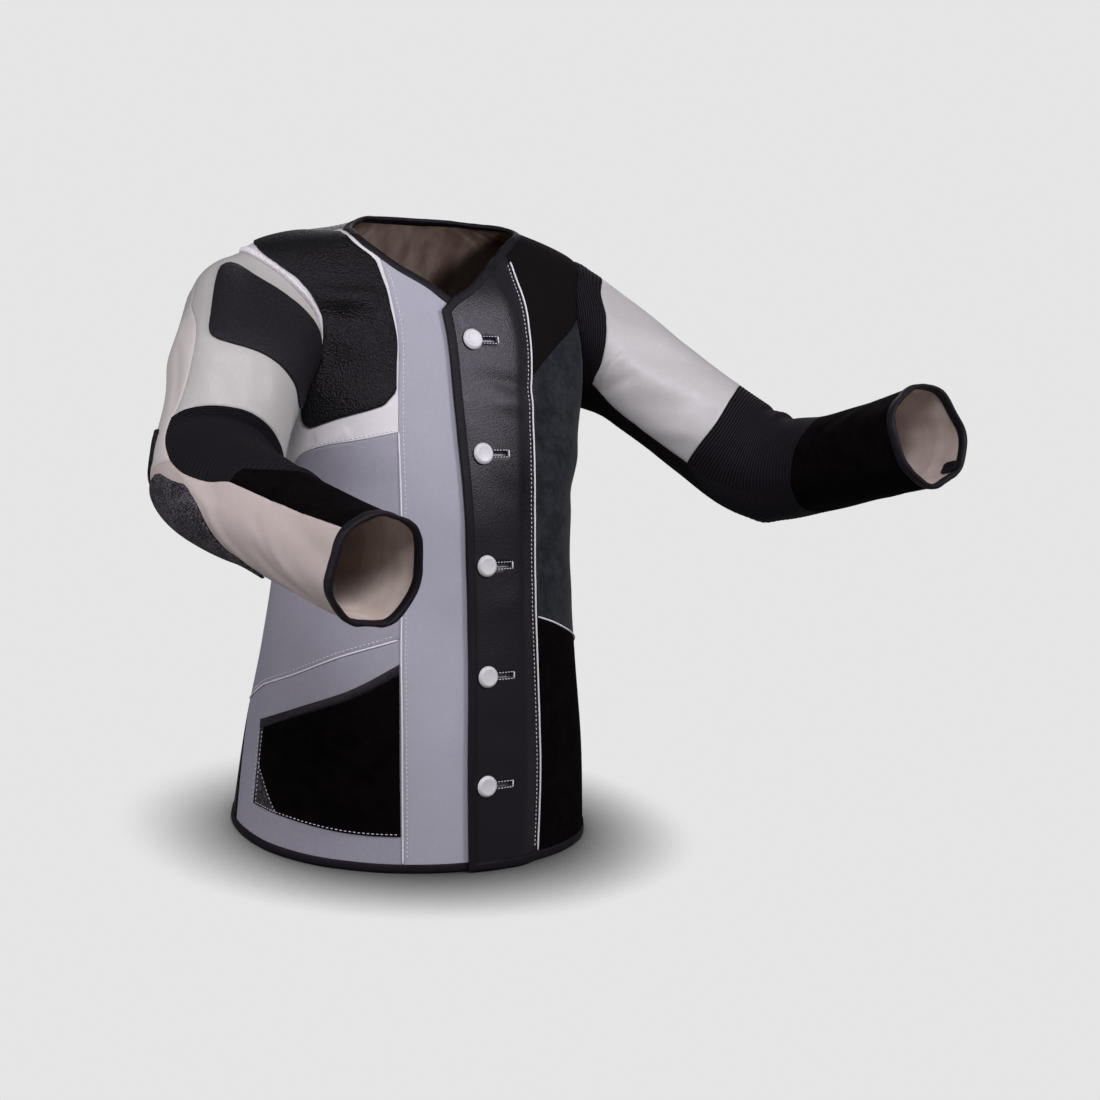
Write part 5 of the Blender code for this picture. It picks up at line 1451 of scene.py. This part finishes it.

# %% [markdown]
# ## Panels
# Each panel is cut out of its sheet by naming a point inside it. Its back shows at the neck and
# inside the cuffs, where the cloth also has small soft folds of its own. In the sleeves the back
# is beige; in the torso it is a darker brown, painted shade for the dim inside of the neck.

# %% Torso panels
Piece = namedtuple("Piece", "name node finish u v")
TORSO_PANELS = table(
    Piece,
    ("right_front_panel", "right_front", "front_canvas", 350, 0.30),
    ("right_chest_panel", "right_chest", "white_leather", 290, 0.425),
    ("right_side_upper_panel", "right_side_upper", "side_canvas", 300, 0.30),
    ("right_side_lower_panel", "right_side_lower", "side_canvas", 300, 0.10),
    ("placket_panel", "left_placket", "black_leather", 10, 0.20),
    ("left_yoke_panel", "left_yoke", "black_canvas", 35, 0.57),
    ("left_chest_panel", "left_chest", "slate_suede", 60, 0.35),
    ("left_lower_panel", "left_lower", "black_suede", 60, 0.10),
    ("back_panel", "back", "black_canvas", 180, 0.30),
)


TORSO_REVERSE, SLEEVE_REVERSE = (0.034, 0.09, 0.0016), (0.050, 0.020, 0.0016)


def soft_reverse(across, along, height):
    """Small soft folds on the inner face, which only ever stand inwards."""
    def depth(patch):
        flat = patch.sheet.flatten(patch.uv)
        x, y = flat[:, 0] / across, flat[:, 1] / along
        wave = (np.sin(2 * pi * x + 1.7 * np.sin(y)) + 0.6 * np.sin(3.7 * pi * x - 1.3 * y)
                + 0.5 * np.sin(2.3 * y + x))
        return -height * (0.5 + 0.5 * wave / 2.1) * smooth(patch.from_edge() / 0.024 - 0.4)
    return depth


ROLL_HEIGHT, ROLL_MIDDLE, ROLL_HALF, ROLL_END = 0.0026, 0.0046, 0.0030, 0.0095
ROLL_FOOT, ROLL_SIDES = 0.535, (258, 330)      # the height and angles between which it shows


def puckered_roll(patch):
    """The padded white edge of the right armhole, drawn together by its seam."""
    t, z = patch.uv.T
    away = from_armhole("right", t, z)
    share = (smooth((z - ROLL_FOOT) / 0.03) * smooth((t - ROLL_SIDES[0]) / 6)
             * smooth((ROLL_SIDES[1] - t) / 6))
    flat = patch.sheet.flatten(patch.uv)
    along = flat @ (0.5, 0.87) + flat @ (0.87, -0.5) * 0.2
    gathers = 1 + 0.07 * np.sin(along / 0.00070) + 0.06 * np.sin(along / 0.00163 + 1)
    return (ROLL_HEIGHT * share * gathers * smooth((ROLL_END - away) / 0.004)
            * np.exp(-((away - ROLL_MIDDLE) / ROLL_HALF) ** 2))


def cut_piece(piece, sheet, lift=0.0, thickness=CLOTH, edge=SEAM_EDGE,
              stops=("rim", "join", "slit", "seam"), height=None, inner=None, back="beige_reverse",
              refine=0, slot=None, ribs=None):
    """A finished piece of cloth from a sheet."""
    patch = sheet.cut((piece.u, piece.v), stops)
    flat_patch = patch
    for _ in range(refine):
        patch = patch.refine()
    raised = height(patch) if height else 0
    if ribs:
        run, strength = rib_run(ribs, patch)
        raised = rib_height(run, strength)
    pressed = inner(patch) if inner else 0
    points, faces, source, slots = shell(patch, lift, thickness, edge, raised, pressed)
    uv = patch.sheet.flatten(patch.uv)[source]
    mesh = flat_mesh(piece.name, points, faces, uv, (piece.finish, back), slots)
    if ribs:
        add_layer(mesh, "ribs", np.stack([strength, run], -1)[source])
    thing = keep(piece.name, mesh, slot or piece.finish, piece.node)
    declare(thing, flat_patch)
    return thing


# The torso panels' backs take the darker brown reverse, which is painted shade inside the neck.
for piece in TORSO_PANELS:
    rolled = piece.name == "right_chest_panel"
    cut_piece(piece, trunk, height=puckered_roll if rolled else None,
              refine=2 if rolled else 0, edge=FINE_EDGE if rolled else SEAM_EDGE,
              back="brown_reverse", inner=soft_reverse(*TORSO_REVERSE))

link_light("front", PIECES["back_panel"], "EXCLUDE")
link_light("back", PIECES["back_panel"], "INCLUDE")

# %% [markdown]
# ## Pads and pocket
# What is sewn on top follows the panel below it point for point, moved out by its own
# thickness. The shoulder pad is a thick moulded skin with a rounded edge. The pocket is thin
# cloth with a tape along its slanted mouth, a narrow strip at its end and a stiff triangle in its
# corner.

# %% Patches of the torso
TORSO_PATCHES = table(
    Piece,
    ("shoulder_pad_skin", "shoulder_pad", "pebbled_pad", 322, 0.52),
    ("pocket_cloth", "pocket", "black_suede", 305, 0.10),
    ("pocket_mouth_tape", "pocket_tape", "tape_leather", 300, 0.161),
    ("pocket_stiffener", "pocket_corner", "speckled_pad", 275.5, 0.050),
    ("pocket_zip_strip", "pocket_zip", "black_leather", 272.4, 0.10),
)
shoulder_pad, *pocket_pieces = TORSO_PATCHES
cut_piece(shoulder_pad, trunk, GAP + PAD, PAD, PAD_EDGE, ("rim", "join", "pad"),
          back="pebbled_pad")
for piece in pocket_pieces:
    cut_piece(piece, trunk, GAP + PATCH, PATCH, Edge(0.0009, 0.0008),
              ("rim", "seam", "pad"), back=piece.finish,
              slot="binding_leather" if piece.finish == "tape_leather" else None)

# %% [markdown]
# ## Sleeves and ribs
# The ribs of the knit are real shape: their triangles are divided twice more, and a row of
# rounded ridges is raised on them. On a real rib the ridges run round the arm, so they follow the
# piece's upper edge and lie close together at the elbow.

# %% Ribs
def edge_height(knots, phi):
    """Where a sleeve's line is at the angles phi."""
    line = np.array(knots, float)
    return curve(line[:, 0], line[:, 1], phi)


Ribs = namedtuple("Ribs", "side knots fade backwards")
RIB_PITCH, RIB_HEIGHT = 0.0042, 0.0008


def rib_run(ribs, patch):
    """Distance from the line that the ribs run parallel to, and how strong they are there."""
    phi, v = patch.uv.T
    start = ribs.knots[0][0]
    away = (v - edge_height(ribs.knots, np.clip(phi, start, None))) * TUBES[ribs.side].length
    away = -away if ribs.backwards else away
    return away, 1 - 0.8 * smooth(away / ribs.fade)


def rib_height(run, strength):
    return RIB_HEIGHT * strength * (np.abs(np.cos(pi * run / RIB_PITCH)) ** 0.8 - 0.75)


SLEEVE_PANELS = {
    "left": (
        (Piece("left_shoulder_knit", "left_shoulder_rib", "black_rib", 60, 0.04),
         Ribs("left", LEFT_RIB_EDGE, 0.20, True)),
        (Piece("left_silver_panel", "left_upper_sleeve", "silver_leather", 60, 0.25), None),
        (Piece("left_under_panel", "left_under_sleeve", "black_canvas", 250, 0.25), None),
        (Piece("left_elbow_knit", "left_elbow_rib", "black_rib", 60, 0.60),
         Ribs("left", LEFT_ELBOW_TOP, 0.15, False)),
        (Piece("left_forearm_panel", "left_forearm", "black_suede", 60, 0.85), None),
    ),
    "right": (
        (Piece("right_grey_panel", "right_upper_sleeve", "grey_leather", 60, 0.30), None),
        (Piece("right_cap_panel", "right_sleeve_cap", "grey_leather", 170, 0.10), None),
        (Piece("right_outer_panel", "right_outer_sleeve", "off_white_leather", 160, 0.30), None),
        (Piece("right_under_panel", "right_under_sleeve", "black_canvas", 260, 0.30), None),
        (Piece("right_elbow_knit", "right_elbow_rib", "black_rib", 60, 0.55),
         Ribs("right", RIGHT_RIB_FRONT, 0.09, False)),
        (Piece("right_forearm_black", "right_forearm_strip", "black_suede", 60, 0.85), None),
        (Piece("right_forearm_panel", "right_forearm", "beige_leather", 200, 0.85), None),
    ),
}
for side, panels in SLEEVE_PANELS.items():
    for piece, ribs in panels:
        cut_piece(piece, SLEEVE_SHEETS[side], refine=2 if ribs else 0, ribs=ribs,
                  edge=RIB_EDGE if ribs else SEAM_EDGE,
                  inner=None if ribs else soft_reverse(*SLEEVE_REVERSE))

# %% Pads of the sleeves
RIGHT_PATCHES = (
    (Piece("sleeve_pad_skin", "right_sleeve_pad", "smooth_pad", 50, 0.18), "right_grey_panel",
     "pebbled_pad"),
    (Piece("elbow_pad_skin", "right_elbow_pad", "speckled_pad", 190, 0.60),
     "right_forearm_panel", "speckled_pad"),
    (Piece("rear_pad_skin", "right_rear_pad", "pebbled_pad", 170, 0.42), "right_outer_panel",
     "pebbled_pad"),
)
for piece, under, slot in RIGHT_PATCHES:
    cut_piece(piece, SLEEVE_SHEETS["right"], GAP + PAD, PAD, PAD_EDGE,
              ("rim", "join", "pad"), back=piece.finish, slot=slot)
cut_piece(Piece("left_cuff_loop", "left_cuff_tab", "binding_leather", 212, 0.97),
          SLEEVE_SHEETS["left"], -CLOTH - TAPE - 2 * GAP, PATCH, Edge(0.0006, 0.0004),
          ("pad",), back="binding_leather")
print("pieces so far:", len(PIECES))

# %% [markdown]
# ## Bindings
# The raw edges of the neck, the front, the hem and the cuffs are wrapped in a folded leather
# tape. Its section is a rounded hook round the cloth's edge, and it is carried along the edge
# with a little unevenness, as a hand-fed tape has. A curve with a bevel would twist where the
# edge bends, so the section is placed by the sheet's own directions.

# %% Binding
Turn = namedtuple("Turn", "reach height")     # from the cloth's edge inwards, and out of its face
HOOK = table(
    Turn, (0.0079, 0.0004), (0.0080, 0.0009), (0.0074, 0.0013), (0.0050, 0.0016),
    (0.0022, 0.0016), (0.0002, 0.0013), (-0.0009, 0.0006), (-0.0013, -0.0008),
    (-0.0011, -0.0022), (-0.0002, -0.0031), (0.0022, -0.0036), (0.0050, -0.0036),
    (0.0074, -0.0033), (0.0080, -0.0029), (0.0079, -0.0024), (0.0004, -0.0023),
    (-0.0003, -0.0010), (0.0004, 0.0003))


def bind(name, node, sheet, rim, row, unevenness, closed=False):
    """A tape folded over the edge of a sheet, from the points of rim in to those of row."""
    base, out = sheet.points(rim), sheet.outward(rim)
    away = (sheet.points(row) - base) / BINDING
    run = run_along(base)
    swell = unevenness * (np.sin(run / 0.0093) + 0.7 * np.sin(run / 0.0041 + 1)
                          + 0.5 * np.sin(run / 0.0023 + 2)) / 2.2
    if closed:
        swell *= smooth(run / 0.02) * smooth((run[-1] - run) / 0.02)
    points, uv = [], []
    around = run_along(np.array(HOOK))
    for turn, at in zip(HOOK, around):
        if turn.reach > 0:
            ground = sheet.points(rim + (row - rim) * (turn.reach / BINDING))
        else:
            ground = base + away * turn.reach
        puff = swell * (1 if turn.height > 0.001 else -1 if turn.height < -0.003 else 0)
        spot = ground + out * (turn.height + puff)[:, None]
        spot[:, 2] = np.maximum(spot[:, 2], 0)
        points.append(spot)
        uv.append(np.stack([run, np.full(len(run), at)], -1))
    if closed:                           # the last point is the first one again
        points, uv = [spots[:-1] for spots in points], [spots[:-1] for spots in uv]
    count, n = len(HOOK), len(points[0])
    quads = [[a, d, c, b] for a, b, c, d in grid(count, n, True, closed)]
    if not closed:
        quads += [[k * n for k in range(count)], [k * n + n - 1 for k in range(count)]]
    mesh = flat_mesh(name, np.concatenate(points), quads, np.concatenate(uv),
                     ("binding_leather",))
    turn_outwards(mesh)
    thing = keep(name, mesh, "binding_leather", node)
    return thing


def turn_outwards(mesh):
    """Turns all the faces outwards."""
    work = bmesh.new()
    work.from_mesh(mesh)
    bmesh.ops.recalc_face_normals(work, faces=work.faces)
    work.to_mesh(mesh)
    work.free()


neck_end, piping_top, hem_corner, hem_end = trunk.ends
trunk_row = trunk.inset(trunk.edge, BINDING)
for name, node, start, end, unevenness in (
        ("neck_tape", "neck_binding", neck_end, piping_top, 0.00025),
        ("placket_tape", "placket_binding", piping_top, hem_corner, 0.00015),
        ("hem_tape", "hem_binding", hem_corner, hem_end, 0.00030)):
    part = slice(start, end + 1)
    bind(name, node, trunk, trunk.edge[part], trunk_row[part], unevenness)
for side, sheet in SLEEVE_SHEETS.items():
    mouth = sheet.lines["cuff"]
    bind(side + "_cuff_tape", side + "_cuff_binding", sheet, mouth,
         mouth - (0, BINDING / TUBES[side].length), 0.0007, closed=True)

# %% [markdown]
# ## Piping
# A white cord in the seam draws the line between two panels. It is a thin tube along the seam's
# own points, half sunk between the two rolled edges.

# %% Piping
CORD_RADIUS = 0.00095
CORD_SIDES, CORD_RISE, CORD_END = 12, 0.8, 0.6


def stretch(line, key, lower, upper):
    """The part of one of the torso's lines whose u or v (key 0 or 1) is between two values."""
    uv = trunk.lines[line]
    return uv[(uv[:, key] >= lower) & (uv[:, key] <= upper)]


def cord(name, node, uv):
    """A round cord along a line of the torso."""
    out = trunk.outward(uv)
    path = trunk.points(uv) + out * CORD_RADIUS * CORD_RISE
    ahead = unit(np.gradient(path, axis=0))
    across = unit(np.cross(ahead, out))
    up = np.cross(across, ahead)
    length = run_along(path)
    n = len(path)
    shrink = np.ones(n)
    shrink[[0, -1]] = CORD_END
    points = [path + (across * cos(a) + up * sin(a)) * (CORD_RADIUS * shrink)[:, None]
              for a in np.arange(CORD_SIDES) * 2 * pi / CORD_SIDES]
    uvs = [np.stack([length, np.full(n, k * 0.001)], -1) for k in range(CORD_SIDES)]
    starts = [k * n for k in range(CORD_SIDES)]
    quads = grid(CORD_SIDES, n, close_rows=True)
    quads += [starts, [start + n - 1 for start in starts][::-1]]
    mesh = flat_mesh(name, np.concatenate(points), quads, np.concatenate(uvs), ("white_cord",))
    print("   %-28s %.0f mm" % (name, length[-1] * 1000))
    return keep(name, mesh, "white_cord", node)


cord("placket_cord", "left_front_piping", stretch("left_front", 1, 0.009, 0.613))
cord("princess_cord", "right_princess_piping", stretch("princess", 1, 0.009, 0.443))
cord("diagonal_cord", "right_diagonal_piping", stretch("right_diagonal", 0, 250, 330))
cord("suede_cord", "left_suede_piping", stretch("suede_foot", 0, 22, 110))

# %% [markdown]
# ## Stitches
# Topstitching is a row of short thread loops that dip into the cloth at both ends. All the
# stitches of one seam are one mesh, made from the same small capsule placed at even steps along
# the seam's line, moved aside by the stitch's allowance.

# %% Stitches
STITCH, STEP, THREAD = 0.0027, 0.0046, 0.00042
Spot = namedtuple("Spot", "share height size")
SPOTS = table(Spot, (-0.50, -0.0001, 0.4), (-0.36, 0.0003, 1.0), (0.36, 0.0003, 1.0),
              (0.50, -0.0001, 0.4))
THREAD_SIDES = 6
STITCH_POINTS = len(SPOTS) * THREAD_SIDES
Row = namedtuple("Row", "line lift step length thread", defaults=(0.0, STEP, STITCH, THREAD))


def stitch_path(path, out, row):
    """Points and faces of all the stitches along one path."""
    run = run_along(path)
    count = max(int(run[-1] / row.step), 1)
    middles = (np.arange(count) + 0.5) * run[-1] / count

    def at(values, s):
        return np.stack([np.interp(s, run, values[:, k]) for k in range(3)], -1)

    rings = []
    ahead = unit(at(path, middles + 0.0005) - at(path, middles - 0.0005))
    up = at(out, middles)
    across = unit(np.cross(ahead, up))
    for spot in SPOTS:
        middle = at(path, middles) + ahead * (spot.share * row.length) + up * spot.height
        for s in range(THREAD_SIDES):
            a = 2 * pi * s / THREAD_SIDES
            rings.append(middle + (across * cos(a) + up * sin(a)) * row.thread * spot.size)
    points = np.stack(rings, 1).reshape(-1, 3)
    one = grid(len(SPOTS), THREAD_SIDES, close_columns=True)
    one += [list(range(THREAD_SIDES))[::-1],
            list(range(STITCH_POINTS - THREAD_SIDES, STITCH_POINTS))]
    faces = [[i + k * STITCH_POINTS for i in face] for k in range(count) for face in one]
    return points, faces


def stitch(name, rows):
    """One mesh of the stitches of several rows on the torso."""
    points, faces, start = [], [], 0
    for row in rows:
        out = trunk.outward(row.line)
        spots, quads = stitch_path(trunk.points(row.line) + out * row.lift, out, row)
        points.append(spots)
        faces += [[i + start for i in face] for face in quads]
        start += len(spots)
    points = np.concatenate(points)
    mesh = flat_mesh(name, points, faces, points[:, :2], ("white_thread",))
    print("   %-28s %d stitches" % (name, len(points) // STITCH_POINTS))
    return keep(name, mesh, "white_cord")


for name, aside, *part in (("placket_stitches", 0.0046, "left_front", 1, 0.012, 0.612),
                           ("princess_stitches", -0.0046, "princess", 1, 0.012, 0.600),
                           ("chest_stitches", -0.0030, "chest_band", 0, 252, 333),
                           ("diagonal_stitches", -0.0046, "right_diagonal", 0, 252, 329)):
    stitch(name, [Row(trunk.inset(stretch(*part), aside))])
stitch("pocket_stitches", [Row(trunk.trace(ends), GAP + PATCH) for ends in (
    ((275.5, 0.0430), (289, 0.0435), (306, 0.0415), (320, 0.0395), (334.0, 0.0405)),
    ((273.2, 0.0850), (288.6, 0.0430)), ((271.2, 0.1150), (273.6, 0.0440)),
    ((273.4, 0.1170), (275.9, 0.0440)))])
print("stitch rows done")

# %% [markdown]
# ## Buttons and buttonholes
# Each button is a turned disc with a raised rim around a shallow dish, and its shank goes through
# the slit in the placket into the front below. The slits are real, so the canvas of the right
# front shows through them, and stitches above, below and at the end keep each from tearing.

# %% Buttons
BUTTON_PROFILE = ((0.00, 0.86), (0.40, 0.88), (0.58, 0.93), (0.70, 1.00), (0.82, 0.97),
                  (0.93, 0.52), (0.99, 0.38), (1.00, 0.26), (0.97, 0.15), (0.88, 0.08))
BUTTON_SIDES = 64
SHANK_END = 0.0005 - OVERLAP_LIFT      # just above the right front


def make_button(name, node, z):
    at = np.array([BUTTON_ANGLE]), np.array([z])
    seat = trunk.place(*at)[0]
    out = normal(trunk.place, *at)[0]
    side = unit(np.cross(out, (0, 0, 1)))
    up = np.cross(side, out)
    rings = [(share * BUTTON_RADIUS, GAP + high * (BUTTON_HEIGHT - GAP))
             for share, high in BUTTON_PROFILE]
    middle = rings.pop(0)[1]
    rings += [(SHANK_RADIUS, GAP), (SHANK_RADIUS, SHANK_END)]
    sides = BUTTON_SIDES
    points = [seat + out * middle]
    for radius, high in rings:
        points += [seat + out * high + (side * cos(a) + up * sin(a)) * radius
                   for a in np.arange(sides) * 2 * pi / sides]
    points.append(seat + out * SHANK_END)
    faces = [[0, 1 + (s + 1) % sides, 1 + s] for s in range(sides)]
    faces += [[1 + i for i in face] for face in grid(len(rings), sides, close_columns=True)]
    last = 1 + (len(rings) - 1) * sides
    faces += [[last + s, last + (s + 1) % sides, len(points) - 1] for s in range(sides)]
    uv = [(p @ side, p @ up) for p in np.array(points)]
    mesh = flat_mesh(name, points, faces, uv, ("white_plastic",))
    return keep(name, mesh, "white_plastic", node)


for k in range(BUTTONS):
    make_button(f"turned_button_{k + 1}", f"button_{k + 1}", button_height(k))
print(BUTTONS, "buttons,", round(BUTTON_RADIUS * 2000, 1), "mm across")

# %% Buttonhole stitches
HoleRow = namedtuple("HoleRow", "x1 up1 x2 up2 step length thread")
HOLE_ROWS = table(HoleRow, (0.0060, 0.0034, 0.0305, 0.0034, 0.0032, 0.0021, THREAD),
                  (0.0060, -0.0034, 0.0305, -0.0034, 0.0032, 0.0021, THREAD),
                  (0.0316, -0.0042, 0.0316, 0.0042, 0.0084, 0.0080, 0.00075))
hole_rows = []
for k in range(BUTTONS):
    z = button_height(k)
    for part in HOLE_ROWS:
        ends = [(angle_beside(part.x1, z + part.up1), z + part.up1),
                (angle_beside(part.x2, z + part.up2), z + part.up2)]
        hole_rows.append(Row(trunk.trace(ends, 0.002), 0, part.step, part.length, part.thread))
stitch("buttonhole_stitches", hole_rows)

# %% [markdown]
# ## Sizes and finish
# The visible jacket may stand only a little proud of the construction, so both boxes are written
# down and compared before the scene is closed.

# %% Finish
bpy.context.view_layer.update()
triangles = {name: sum(len(face.vertices) - 2 for face in thing.data.polygons)
             for name, thing in PIECES.items()}
print("pieces:", len(PIECES), "triangles:", sum(triangles.values()), "largest:",
      max(triangles, key=triangles.get), max(triangles.values()))
